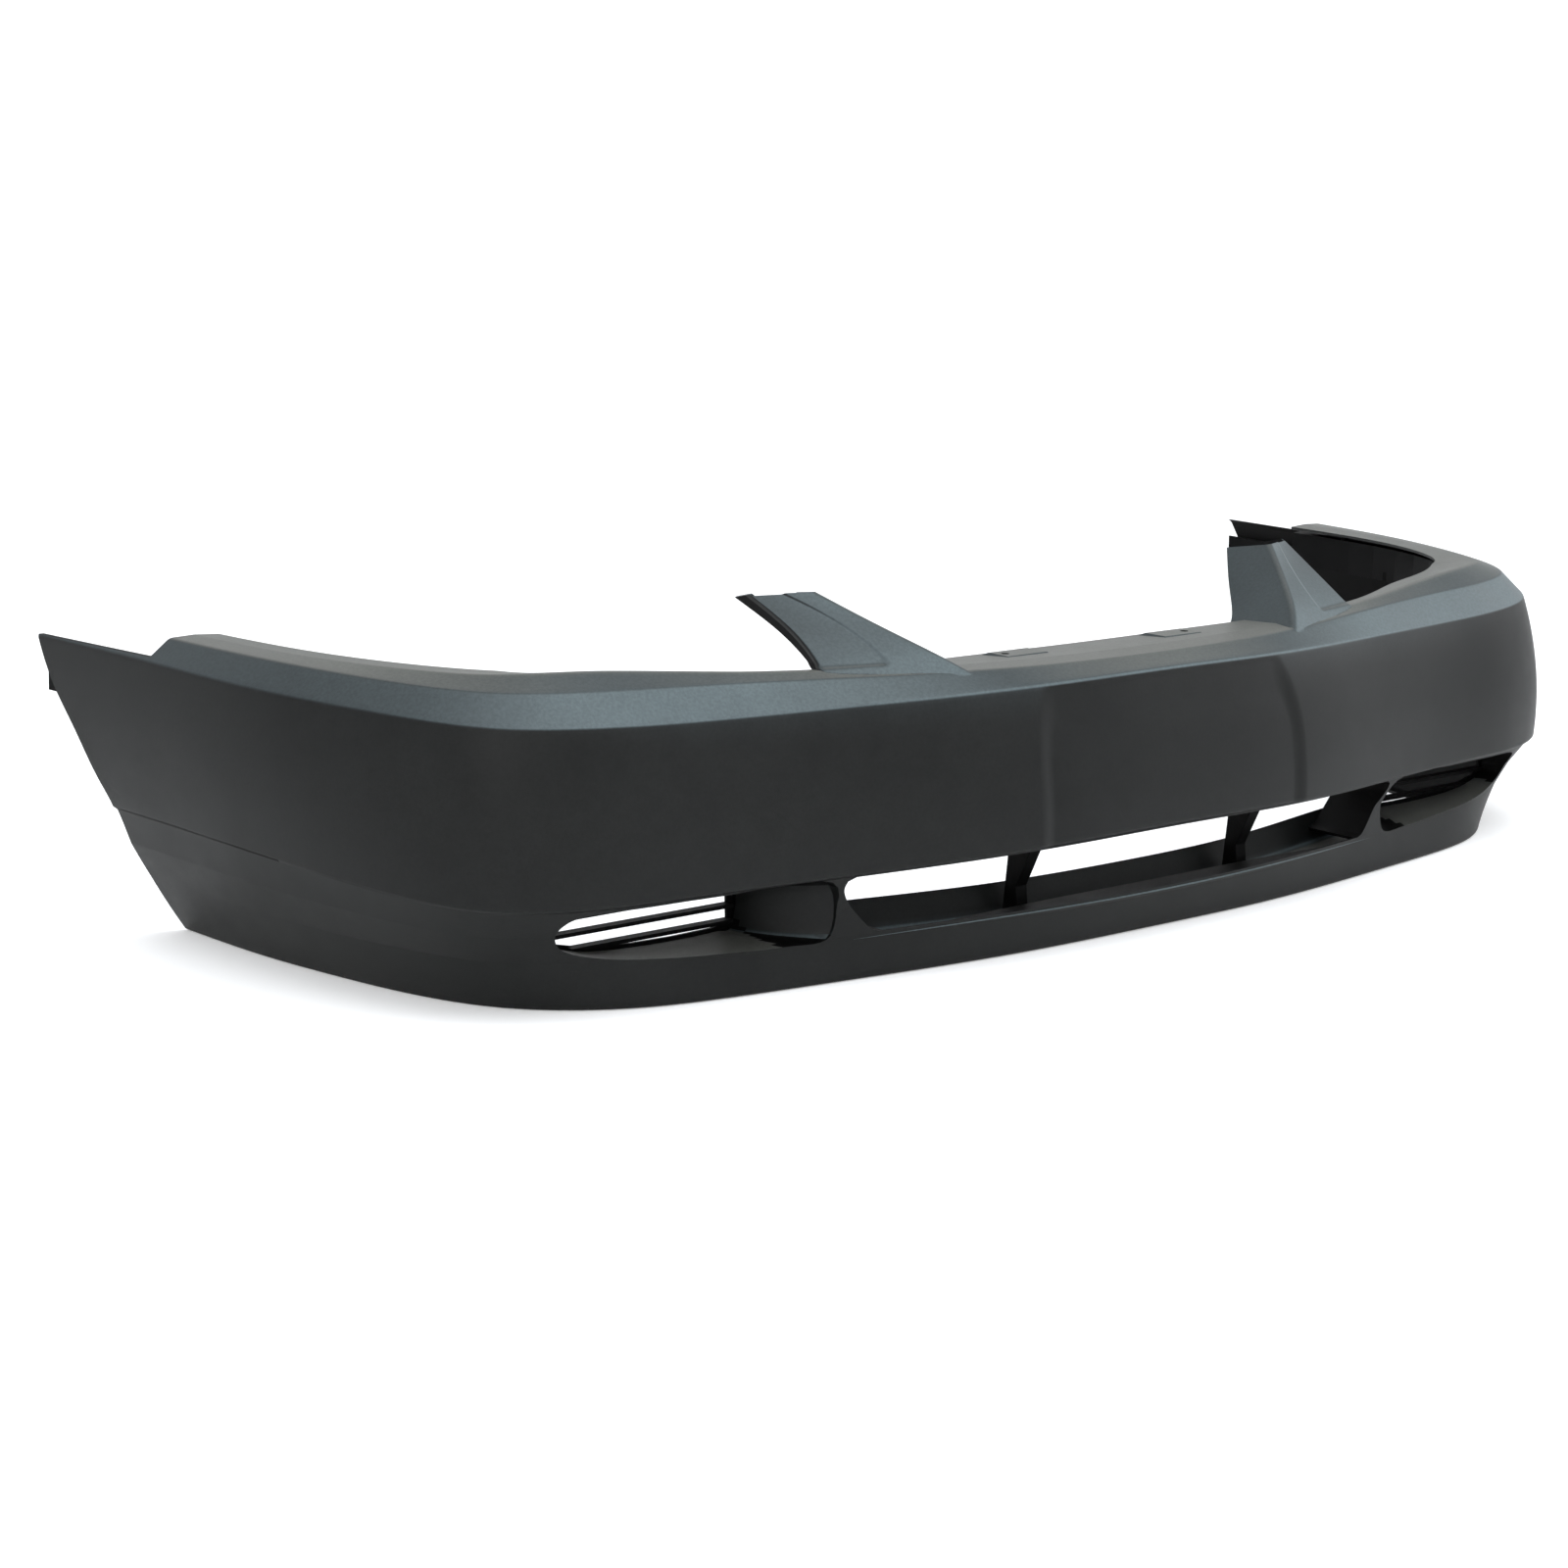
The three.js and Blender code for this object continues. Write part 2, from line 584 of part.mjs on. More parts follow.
const INSERT_PLATE = 3.5;
const LOUVER_LOW_Z = 53;
const LOUVER_COUNT = 3;
function louverInsert(side) {
  const y0 = LOUVER_Y + GAP;
  const y1 = y0 + INSERT_PLATE;
  const window = grow(POCKET_REAR, -3);
  let insert = louverPlate(side, grow(POCKET_REAR, FLANGE - 1), y0, y1)
    .subtract(alongY(flipX(window, side), y0 - 1, y1 + 1));
  const inside = alongY(flipX(grow(POCKET_REAR, -1.5), side), y1 - SLAT_DEPTH, y1);
  for (let k = 0; k < LOUVER_COUNT; k += 1) {
    const z = LOUVER_LOW_Z + k * LOUVER_PITCH;
    const slat = box(-720, 720, y1 - SLAT_DEPTH, y1, z, z + SLAT_THICK);
    insert = insert.add(slat.intersect(inside));
  }
  return insert;
}

function strut(side) {
  const top = mouthTopZ() - GAP;
  const foot = GUTTER_Z + GAP;
  const profile = [
    [42, foot], [66, foot], [62, 66], [58, top - 6],
    [60, top], [22, top], [24, top - 5], [46, 64],
  ];
  const x = STRUT_X * side;
  return prism(profile, 'x', x - 8, x + 8)
    .subtract(cylinder(2.3, [x, STRUT_HEAD_Y, top - 12], [x, STRUT_HEAD_Y, top + 2], 10))
    .subtract(cylinder(2.3, [x, STRUT_FOOT_Y, foot - 2], [x, STRUT_FOOT_Y, foot + 12], 10));
}

// Bracket that carries the headlamp: a strip below the deck with a notched web.
const LAMP_STRIP = { from: 3.4, to: 7.9, count: 15, web: 52, across: 0.8 };
const NOTCH = { half: 9, low: 240, top: 268, step: 4 };
const BRACKET_BORE = 2.4;
function headlampBracket(side) {
  const { from, to, count } = LAMP_STRIP;
  const rowsAt = (i) => section(stationOf(side, from + ((to - from) * i) / count));
  const grid = Array.from({ length: count + 1 }, (_, i) => {
    const [edge, crest] = rowsAt(i);
    return [add3(edge, [0, 0, -LAMP_STRIP.web]), edge, lerp3(edge, crest, LAMP_STRIP.across)];
  });
  if (side < 0) grid.reverse();
  let bracket = sheet(grid, BRACKET_WALL, WALL + BOSS_LENGTH + GAP);
  for (let i = 1; i < count; i += 2) {
    const [x, y] = rowsAt(i + 0.5)[0];
    const top = NOTCH.top + (i % 4) * NOTCH.step;
    const notch = box(x - NOTCH.half, x + NOTCH.half, y - NOTCH.half, y + NOTCH.half, NOTCH.low, top);
    bracket = bracket.subtract(notch);
  }
  for (const t of LAMP_SCREWS) {
    const { p, n } = lampSpot(side, t);
    bracket = bracket.subtract(cylinder(BRACKET_BORE, p, add3(p, n, -30), 10));
  }
  return bracket;
}

// Retainer strip inside the rear end of the side panel, below the fender.
const FENDER_STRIP = { from: 8.15, long: 0.72, count: 6, low: 0.15, high: 0.95 };
function fenderBracket(side) {
  const { from, long, count, low, high } = FENDER_STRIP;
  const grid = Array.from({ length: count + 1 }, (_, i) => {
    const t = stationOf(side, from + (long * i) / count);
    return [low, high].map((s) => skinPoint(t, FENDER_ROW, s).p);
  });
  if (side < 0) grid.reverse();
  let bracket = sheet(grid, BRACKET_WALL, WALL + BOSS_LENGTH + GAP);
  for (const t of FENDER_SCREWS) {
    const { p, n } = fenderSpot(side, t);
    bracket = bracket.subtract(cylinder(BRACKET_BORE, p, add3(p, n, -30), 10));
  }
  return bracket;
}

// Two-part push rivet: a body with a bore and a pin that slides in it.
const RIVET_SEAT = LOUVER_Y + GAP + INSERT_PLATE + GAP;
function rivetBody(at) {
  const profile = [
    [2.4, 2.2], [2.4, -14], [3.4, -14], [4.6, -9], [4.6, -8.2], [3.6, -7.6], [3.6, 0], [7, 0],
    [7, 1.2], [6, 2.2], [2.4, 2.2],
  ];
  return turned(profile, at, [0, 1, 0]);
}
function rivetPin(at) {
  const profile = [[0, -13], [1.2, -13], [2, -12], [2, 2.5], [4.4, 2.5], [4.4, 3.4], [3.6, 4], [0, 4]];
  return turned(profile, at, [0, 1, 0]);
}

// ---------------------------------------------------------------- assembling
const part = new THREE.Group();
part.name = 'bumper_cover';

const MATERIALS = {
  cover: { color: 0x34383a, roughness: 0.62, metalness: 0 },
  black: { color: 0x121314, roughness: 0.55, metalness: 0 },
  nylon: { color: 0x1b1c1e, roughness: 0.45, metalness: 0 },
  zinc: { color: 0x9a9c98, roughness: 0.35, metalness: 0.9 },
};
function addPiece(name, solid, look) {
  const mesh = solid.getMesh();
  const g = new THREE.BufferGeometry();
  g.setAttribute('position', new THREE.BufferAttribute(new Float32Array(mesh.vertProperties), 3));
  g.setIndex(new THREE.BufferAttribute(new Uint32Array(mesh.triVerts), 1));
  g.computeVertexNormals();
  const piece = new THREE.Mesh(g, new THREE.MeshStandardMaterial(MATERIALS[look]));
  piece.name = name;
  part.add(piece);
}

addPiece('cover_shell', coverShell(), 'cover');
for (const [side, word] of [[-1, 'right'], [1, 'left']]) {
  addPiece(`louver_insert_${word}`, louverInsert(side), 'black');
  addPiece(`support_strut_${word}`, strut(side), 'black');
  addPiece(`headlamp_bracket_${word}`, headlampBracket(side), 'black');
  addPiece(`fender_bracket_${word}`, fenderBracket(side), 'black');
  for (const [k, [x, z]] of EARS.entries()) {
    const at = [x * side, RIVET_SEAT, z];
    addPiece(`rivet_body_${word}_${k + 1}`, rivetBody(at), 'nylon');
    addPiece(`rivet_pin_${word}_${k + 1}`, rivetPin(at), 'nylon');
  }
  for (const [group, spots, spot] of [
    ['lamp', LAMP_SCREWS, lampSpot], ['fender', FENDER_SCREWS, fenderSpot],
  ]) {
    for (const [k, t] of spots.entries()) {
      const { p, n } = spot(side, t);
      const seat = add3(p, n, -(WALL + BOSS_LENGTH + 2 * GAP + BRACKET_WALL));
      addPiece(`${group}_screw_${word}_${k + 1}`, screwSolid(seat, n.map((v) => -v), 8), 'zinc');
    }
  }
  const over = [STRUT_X * side, STRUT_HEAD_Y, mouthTopZ() + WALL + GAP];
  const below = [STRUT_X * side, STRUT_FOOT_Y, GUTTER_Z - WALL - GAP];
  addPiece(`strut_screw_${word}_1`, screwSolid(over, [0, 0, 1], 13), 'zinc');
  addPiece(`strut_screw_${word}_2`, screwSolid(below, [0, 0, -1], 13), 'zinc');
}

// Put the middle of the footprint on the origin and the lowest point on z = 0.
const bounds = new THREE.Box3().setFromObject(part);
const centre = bounds.getCenter(new THREE.Vector3());
for (const piece of part.children) piece.geometry.translate(-centre.x, -centre.y, -bounds.min.z);

export default part;
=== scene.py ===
import math

import bmesh
import bpy
import numpy as np
from mathutils import Matrix, Vector


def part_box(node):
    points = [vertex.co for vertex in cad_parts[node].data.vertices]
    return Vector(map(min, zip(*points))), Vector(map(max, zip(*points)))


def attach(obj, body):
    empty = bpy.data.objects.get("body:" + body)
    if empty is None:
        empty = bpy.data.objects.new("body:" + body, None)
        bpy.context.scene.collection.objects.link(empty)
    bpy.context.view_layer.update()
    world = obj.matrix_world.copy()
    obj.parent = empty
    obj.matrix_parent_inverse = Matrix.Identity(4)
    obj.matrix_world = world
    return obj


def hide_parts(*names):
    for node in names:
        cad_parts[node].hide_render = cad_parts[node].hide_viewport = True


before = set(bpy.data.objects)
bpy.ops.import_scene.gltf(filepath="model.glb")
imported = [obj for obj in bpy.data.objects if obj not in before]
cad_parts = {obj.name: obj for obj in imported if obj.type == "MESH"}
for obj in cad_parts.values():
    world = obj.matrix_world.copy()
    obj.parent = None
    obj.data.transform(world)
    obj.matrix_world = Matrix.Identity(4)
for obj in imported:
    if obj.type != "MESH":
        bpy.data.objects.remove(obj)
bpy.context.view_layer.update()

# ---------------------------------------------------------------- sizes, in millimetres
# Layout axes: x across the car, y back from the nose, z up from the bottom of the lip.
MM = 0.001
WALL = 3.2
GAP = 0.35
FACE_BULGE = 9
TUCK_DEPTH = 12
LIP_RETURN = 20
DECK_END_Y = 553
DECK_END_Z = 303.6       # top edge of the side panel behind the deck
UNDER_DROP = 3           # the step below the face drops this much
MID_SWELL = 3            # outward swell of the skin between the step and the lip
MID_TUCK = 11            # and how far it is tucked in over the mouth
CREASE_STEP = 4
CREASE_SHADE_FROM_Y = 340     # the underside of the crease gets painted shade behind this
LOUVER_Y = 143
FLANGE = 12
PLATE_X = 188            # half width of the sunk plate pad
PLATE_TOP = 16           # distance from the ridge down to the pad
PLATE_DEPTH = 4
PLATE_CORNER = 26
PLATE_SLOPE = 20         # width of the sloped side edges of the pad
PLATE_FADE = 0.35        # the upper edge of the pad is this much gentler
MOUTH_TOP_X = 414
MOUTH_BOTTOM_X = 372
MOUTH_RETURN = 62        # depth of the return above the mouth, in the middle
MOUTH_BACK = 260
AHEAD_Y = -90            # in front of everything, where cuts start
CORE_DEPTH = 140         # how deep the walls behind the skin may reach
FRONT_STATIONS = 5.5     # stations each side of the middle that have such walls
GUTTER_Z = 28
GUTTER_HALF = 428
GUTTER_LINES = [(74, 0.97, 33), (62, 0.98, 0), (20, 0.99, 0)]   # back, scale in x, rise
BRACKET_WALL = 2.5
BOSS_RADIUS = 5.5
BOSS_LENGTH = 6
BOSS_BORE = 2.3
STRUT_BORE = 2.5
HEAD_RADIUS = 3.8        # points of a screw farther out than this are on its head
EAR_RADIUS = 10
RIVET_HOLE = 4
SEAT = {
    "x": 118, "y": 98, "wide": 56, "deep": 30, "low": 291.5, "top": 295.6, "skirt": 7, "bolt": 18,
    "hole": 4.5,
}
# Boxes cleared from the walls round the mouth, which are deep only at the ends.
MOUTH_TRIMS = [
    (-360, 360, 30, 300, 20, 90),
    (-MOUTH_TOP_X - 19, MOUTH_TOP_X + 19, 118, 300, 0, 200),
    (-360, -215, 34, 300, 90, 200),
    (215, 360, 34, 300, 90, 200),
    (-216, 216, MOUTH_RETURN, 300, 90, 200),
]
MOUTH_SKIN = (-600, 600, -100, 70, 0, 200)       # where the mouth opens the skin
POCKET_REAR_ZONE = (400, 800, 129, 145, 30, 120)  # walls kept here up to the flange
DECK_END = (-1200, 1200, DECK_END_Y, 900, DECK_END_Z, 400)

# Stations along one half of the cover, from the middle to the wheel arch.
RIDGE = [
    (0, 7, 283), (200, 16, 280), (400, 55, 275), (560, 81, 274), (660, 92, 277),
    (765, 133, 281), (833, 236, 288), (878, 390, 294), (900, 570, 300), (917, 770, 303),
]
LIP_BOTTOM = [
    (0, 19), (200, 23), (400, 45), (560, 69), (660, 104),
    (735, 170), (779, 270), (803, 385), (818, 500), (824, 660),
]
# [outward from the ridge, height] at each station.
BEVEL_TOP = [
    (-30, 294), (-29, 296), (-28, 299), (-28, 303), (-28, 306),
    (-28, 309), (-28, 313), (-28, 318), (-28, 321), (-28, 322),
]
DECK_CREST = [
    (-60, 296), (-60, 297), (-45, 304), (-52, 315), (-58, 322),
    (-60, 322), (-58, 321), (-56, 321), (-56, 322), (-56, 323),
]
DECK_EDGE = [
    (-128, 293), (-124, 293), (-62, 303), (-88, 308), (-105, 312),
    (-112, 316), (-94, 319), (-84, 320), (-84, 320), (-84, 320),
]
FACE_EDGE = [
    (33, 122), (33, 119), (32, 113), (30, 111), (26, 110),
    (22, 112), (10, 122), (-6, 131), (-14, 135), (-17, 136),
]
LIP_TOP = [
    (6, 48), (4, 48), (4, 44), (2, 43), (-8, 48),
    (-22, 52), (-34, 54), (-44, 56), (-50, 58), (-54, 58),
]
TUCK = [1, 1, 1, 1, 0.8, 0.4, 0.1, 0, 0, 0]
CREASE = [0, 0, 0, 0, 0, 0, 0, 0.6, 1, 1]

# Corners of a section from the deck edge to the lip return: radius of each, and how many
# rows of vertices lie between it and the next.
CORNERS = ["deck", "crest", "bevel", "ridge", "face", "under", "mid", "lip_top", "lip", "back"]
RADII = [0, 14, 12, 8, 4, 3.5, 22, 6, 4, 0]
ROWS_BETWEEN = [6, 4, 4, 46, 1, 4, 4, 6, 3]
ARC_STEPS = 5

POCKET_FRONT = [
    (420, 48), (470, 41), (530, 42), (600, 46), (665, 53), (706, 64),
    (722, 78), (720, 92), (690, 102), (620, 104), (550, 105), (430, 105),
]
POCKET_REAR = [
    (478, 50), (500, 46), (550, 45), (600, 46), (655, 50), (698, 60),
    (712, 74), (710, 90), (698, 100), (620, 102), (550, 102), (480, 100),
]
POCKET_FRONT_Y = 58
POCKET_SWEEP = 1.7       # how soon the inboard wall turns away from the skin
POCKET_MIDDLE = 580
PRONG_INNER = [(236, 42, 291), (268, 74, 314), (304, 121, 340), (342, 175, 370)]
PRONG_OUTER = [(406, 76, 286), (399, 106, 310), (397, 150, 339), (405, 206, 368)]
PRONG_GRILLE_WALL = [(-6, 96, -10), (-12, 78, -16), (-16, 66, -14), (-16, 52, -8)]
PRONG_LAMP_WALL = [(-4, 16, 0), (-4, 16, -6), (-4, 22, -8), (-3, 30, -7)]
PRONG_RECESS = 1.5
PRONG_RECESS_SLOPE = 5
PRONG_RECESS_CORNER = 5
PRONG_RECESS_X = (327, 50)       # its edge at the foot, and how far it drifts out at the tip
PRONG_RECESS_Z = 307
PRONG_FOOT_Z, PRONG_RISE = 305, 66
ARCH = [
    (750, 304), (717, 254), (684, 212), (659, 168), (643, 138), (639, 104), (634, 60),
    (617, -5), (900, -5), (900, 304),
]
OUTSIDE = 0              # material slots of the shell
INSIDE = 1

LAST = 2 * (len(RIDGE) - 1)
MIDDLE = LAST / 2
SHELL_LOW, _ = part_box("cover_shell")
NOSE_Y = RIDGE[0][1] - FACE_EDGE[0][0] + PLATE_DEPTH
SHIFT_Y = SHELL_LOW.y / MM - NOSE_Y
SIDES = ((-1, "right"), (1, "left"))


# ---------------------------------------------------------------- small maths
def unit(a):
    return a / np.maximum(np.linalg.norm(a, axis=-1, keepdims=True), 1e-12)


def dot(a, b):
    return np.sum(a * b, axis=-1, keepdims=True)


def smoothstep(x):
    x = np.clip(x, 0, 1)
    return x * x * (3 - 2 * x)


def spline(rows):
    """Natural cubic spline through rows at unit spacing; takes an array of parameters."""
    rows = np.array(rows, float)
    n = len(rows)
    system = np.eye(n)
    right = np.zeros_like(rows)
    for i in range(1, n - 1):
        system[i, i - 1:i + 2] = (1, 4, 1)
        right[i] = 6 * (rows[i + 1] - 2 * rows[i] + rows[i - 1])
    second = np.linalg.solve(system, right)

    def at(t):
        t = np.asarray(t, float)
        k = np.clip(np.floor(t).astype(int), 0, n - 2)
        b = (t - k)[..., None]
        a = 1 - b
        bend = (a ** 3 - a) * second[k] + (b ** 3 - b) * second[k + 1]
        return a * rows[k] + b * rows[k + 1] + bend / 6
    return at


def mirrored(table, flip=False):
    """A half table continued to the other side of the car."""
    rows = [tuple(r) if hasattr(r, "__len__") else (r,) for r in table]
    other = [(-r[0], *r[1:]) if flip else r for r in rows[:0:-1]]
    return other + rows


ridge_at = spline(mirrored(RIDGE, True))
lip_at = spline(mirrored(LIP_BOTTOM, True))
bevel_at = spline(mirrored(BEVEL_TOP))
crest_at = spline(mirrored(DECK_CREST))
deck_at = spline(mirrored(DECK_EDGE))
face_at = spline(mirrored(FACE_EDGE))
lip_top_at = spline(mirrored(LIP_TOP))
tuck_at = spline(mirrored(TUCK))
crease_at = spline(mirrored(CREASE))


def outward(t):
    """Outward direction in plan at each station."""
    step = 0.01
    along = ridge_at(np.minimum(LAST, t + step)) - ridge_at(np.maximum(0, t - step))
    flat = np.stack([along[:, 1], -along[:, 0], np.zeros(len(t))], axis=1)
    return unit(flat)


def section_corners(t):
    """The sharp corners of the sections at stations t, and the outward directions."""
    n = outward(t)
    ridge = ridge_at(t)

    def off(table_at):
        out, z = table_at(t).T
        point = ridge + n * out[:, None]
        point[:, 2] = z
        return point

    face = off(face_at)
    lip_top = off(lip_top_at)
    tuck = np.maximum(0, tuck_at(t))
    inset = TUCK_DEPTH * tuck + CREASE_STEP * np.maximum(0, crease_at(t))
    under = face - n * inset
    under[:, 2] -= UNDER_DROP + tuck[:, 0]
    mid = (under + lip_top) / 2 + n * (MID_SWELL - MID_TUCK * tuck)
    lip = np.column_stack([lip_at(t), np.zeros(len(t))])
    corners = [off(deck_at), off(crest_at), off(bevel_at), ridge, face, under, mid, lip_top, lip,
               lip - n * LIP_RETURN]
    return corners, n


def fold(corners, radii, counts, swell=None):
    """Rows of vertices over a folded strip with a rounded edge at each inner corner.

    corners holds one array of points per corner. swell is (segment, direction, height): that
    segment bows out as a parabola. Gives the grid (columns, rows, 3), and for each row its
    segment and its place along it, which is 0 to 1 and runs over 1 in the arc that follows.
    """
    last = len(corners) - 1
    start, stop, length = [], [], []
    for k in range(last):
        step = corners[k + 1] - corners[k]
        a = b = step
        if swell and swell[0] == k:
            a = step + 4 * swell[2] * swell[1]
            b = step - 4 * swell[2] * swell[1]
        start.append(unit(a))
        stop.append(unit(b))
        length.append(np.linalg.norm(step, axis=1, keepdims=True))
    trim = [np.zeros_like(length[0])]
    angle = [None]
    for k in range(1, last):
        turn = np.arccos(np.clip(dot(stop[k - 1], start[k]), -1, 1))
        turn = np.maximum(turn, 1e-3)
        room = 0.45 * np.minimum(length[k - 1], length[k])
        trim.append(np.minimum(radii[k] * np.tan(turn / 2), room))
        angle.append(turn)
    trim.append(np.zeros_like(length[0]))
    rows, tags = [corners[0]], [(0, np.zeros(len(corners[0])))]
    for k in range(last):
        low = trim[k] / length[k]
        high = 1 - trim[k + 1] / length[k]
        for i in range(1, counts[k] + 1):
            s = low + (high - low) * i / (counts[k] + 1)
            point = corners[k] + s * (corners[k + 1] - corners[k])
            if swell and swell[0] == k:
                point = point + 4 * swell[2] * s * (1 - s) * swell[1]
            rows.append(point)
            tags.append((k, s[:, 0]))
        if k == last - 1:
            break
        begin = corners[k + 1] - trim[k + 1] * stop[k]
        turn = angle[k + 1]
        radius = trim[k + 1] / np.tan(turn / 2)
        across = unit(start[k + 1] - np.cos(turn) * stop[k])
        for i in range(ARC_STEPS + 1):
            phi = turn * i / ARC_STEPS
            rows.append(begin + radius * (np.sin(phi) * stop[k] + (1 - np.cos(phi)) * across))
            tags.append((k, np.full(len(begin), 1 + i / (2 * ARC_STEPS))))
    rows.append(corners[last])
    tags.append((last - 1, np.ones(len(corners[0]))))
    return np.stack(rows, axis=1), tags


def rounded_box_distance(dx, dy, radius):
    """Signed distance to a quarter plane with a rounded corner, negative inside."""
    qx, qy = dx + radius, dy + radius
    outside = np.hypot(np.maximum(qx, 0), np.maximum(qy, 0))
    return np.minimum(np.maximum(qx, qy), 0) + outside - radius


# ---------------------------------------------------------------- solids
def make(name, points, faces, inside_from=None):
    """A closed mesh object from layout points; faces from index inside_from use INSIDE."""
    points = np.asarray(points, float).reshape(-1, 3)
    mesh = bpy.data.meshes.new(name)
    mesh.from_pydata(points, [], faces)
    if inside_from is not None:
        slots = np.full(len(faces), OUTSIDE)
        slots[inside_from:] = INSIDE
        mesh.polygons.foreach_set("material_index", slots)
    obj = bpy.data.objects.new(name, mesh)
    bpy.context.scene.collection.objects.link(obj)
    mesh.materials.append(MATERIAL["cover_plastic"])
    mesh.materials.append(MATERIAL["cover_inside_and_shade"])
    work = bmesh.new()
    work.from_mesh(mesh)
    bmesh.ops.recalc_face_normals(work, faces=work.faces)
    work.to_mesh(mesh)
    work.free()
    return obj


def normals(grid, facing):
    """Unit normals of a grid of points, on the side that faces a direction."""
    normal = unit(np.cross(np.gradient(grid, axis=0), np.gradient(grid, axis=1)))
    return normal * np.sign(np.sum(normal.mean(axis=(0, 1)) * facing))


def thicken(name, grid, deep, facing, inside=None):
    """A closed sheet behind a grid of outer points (columns, rows, 3). Its rear side uses
    INSIDE, unless inside says which slot the whole sheet uses."""
    cols, rows = grid.shape[:2]
    normal = normals(grid, facing)
    points = np.concatenate([grid.reshape(-1, 3), (grid - deep * normal).reshape(-1, 3)])
    count = cols * rows
    index = np.arange(count).reshape(cols, rows)
    a, b = index[:-1, :-1].ravel(), index[:-1, 1:].ravel()
    c, d = index[1:, 1:].ravel(), index[1:, :-1].ravel()
    outer = np.stack([a, b, c, d], axis=1)
    inner = np.stack([a, d, c, b], axis=1) + count
    rim = []
    for line in (index[0], index[-1], index[:, 0], index[:, -1]):
        p, q = line[:-1], line[1:]
        rim.append(np.stack([p, q, q + count, p + count], axis=1))
    faces = np.concatenate([outer, *rim, inner]).tolist()
    if inside == OUTSIDE:
        return make(name, points, faces)
    return make(name, points, faces, 0 if inside == INSIDE else len(faces) - len(inner))


def loft(name, rings, slot=INSIDE):
    """A closed solid through rings with equal counts of points."""
    n = len(rings[0])
    faces = []
    for r in range(len(rings) - 1):
        for k in range(n):
            nxt = (k + 1) % n
            faces.append([r * n + k, r * n + nxt, (r + 1) * n + nxt, (r + 1) * n + k])
    faces.append(list(range(n)))
    faces.append(list(range((len(rings) - 1) * n, len(rings) * n))[::-1])
    return make(name, np.array(rings, float), faces, 0 if slot == INSIDE else None)


def box(x0, x1, y0, y1, z0, z1, slot=INSIDE):
    low = [(x0, y0, z0), (x1, y0, z0), (x1, y1, z0), (x0, y1, z0)]
    high = [(x, y, z1) for x, y, _ in low]
    return loft("block", [low, high], slot)


def rod(radius, start, stop, sides=32):
    """A round solid between two points."""
    start, stop = np.array(start, float), np.array(stop, float)
    axis = unit(stop - start)
    helper = np.array((0, 0, 1.0)) if abs(axis[2]) < 0.9 else np.array((1.0, 0, 0))
    u = unit(np.cross(axis, helper))
    v = np.cross(axis, u)
    turn = np.linspace(0, 2 * math.pi, sides, endpoint=False)
    circle = radius * (np.cos(turn)[:, None] * u + np.sin(turn)[:, None] * v)
    return loft("rod", [circle + start, circle + stop])


def boolean(base, others, how):
    """base joined with, cut by or limited to the others, which are used up."""
    for other in others:
        step = base.modifiers.new("step", "BOOLEAN")
        step.object = other
        step.operation = how
        step.solver = "MANIFOLD"
    graph = bpy.context.evaluated_depsgraph_get()
    result = bpy.data.meshes.new_from_object(base.evaluated_get(graph))
    base.modifiers.clear()
    base.data = result
    for other in others:
        bpy.data.objects.remove(other)
    return base


def join(base, *others):
    return boolean(base, others, "UNION")


def cut(base, *others):
    return boolean(base, others, "DIFFERENCE")


def common(base, *others):
    return boolean(base, others, "INTERSECT")


def smooth_loop(points, steps=6):
    """A closed outline through the points, by Catmull-Rom segments."""
    p = np.array(points, float)
    u = np.linspace(0, 1, steps, endpoint=False)[:, None]
    out = []
    for i in range(len(p)):
        a, b, c, d = (p[(i + k) % len(p)] for k in (-1, 0, 1, 2))
        out.append(0.5 * (2 * b + (c - a) * u + (2 * a - 5 * b + 4 * c - d) * u ** 2
                          + (3 * b - a - 3 * c + d) * u ** 3))
    return np.concatenate(out)


def grow(outline, distance):
    """A closed outline moved outwards by a distance."""
    p = np.array(outline, float)
    before, after = unit(p - np.roll(p, 1, 0)), unit(np.roll(p, -1, 0) - p)
    m = unit(np.stack([before[:, 1] + after[:, 1], -before[:, 0] - after[:, 0]], axis=1))
    lean = np.maximum(0.5, m[:, :1] * before[:, 1:] - m[:, 1:] * before[:, :1])
    return p + m * distance / lean


def ring(outline, y, side=1):
    outline = np.asarray(outline)
    return np.stack([outline[:, 0] * side, np.full(len(outline), float(y)), outline[:, 1]], axis=1)


def plate(outline, y0, y1, side=1):
    return loft("plate", [ring(outline, y0, side), ring(outline, y1, side)])


# ---------------------------------------------------------------- materials
def nodes_of(name):
    material = bpy.data.materials.new(name)
    material.use_nodes = True
    tree = material.node_tree
    return material, tree, tree.nodes["Principled BSDF"]


def add(tree, kind, **inputs):
    node = tree.nodes.new(kind)
    for key, value in inputs.items():
        node.inputs[key.replace("_", " ")].default_value = value
    return node


def ramp(tree, source, stops):
    node = tree.nodes.new("ShaderNodeValToRGB")
    tree.links.new(source, node.inputs["Fac"])
    elements = node.color_ramp.elements
    while len(elements) < len(stops):
        elements.new(0.5)
    for element, (place, colour) in zip(elements, stops):
        element.position = place
        element.color = (*colour, 1)
    return node.outputs["Color"]


def grey(v):
    return (v, v, v)


def blend(tree, kind, factor, a, b):
    node = tree.nodes.new("ShaderNodeMix")
    node.data_type = "RGBA"
    node.blend_type = kind
    for socket, value in ((node.inputs[0], factor), (node.inputs[6], a), (node.inputs[7], b)):
        if isinstance(value, bpy.types.NodeSocket):
            tree.links.new(value, socket)
        else:
            socket.default_value = value if isinstance(value, float) else (*value, 1)
    return node.outputs[2]
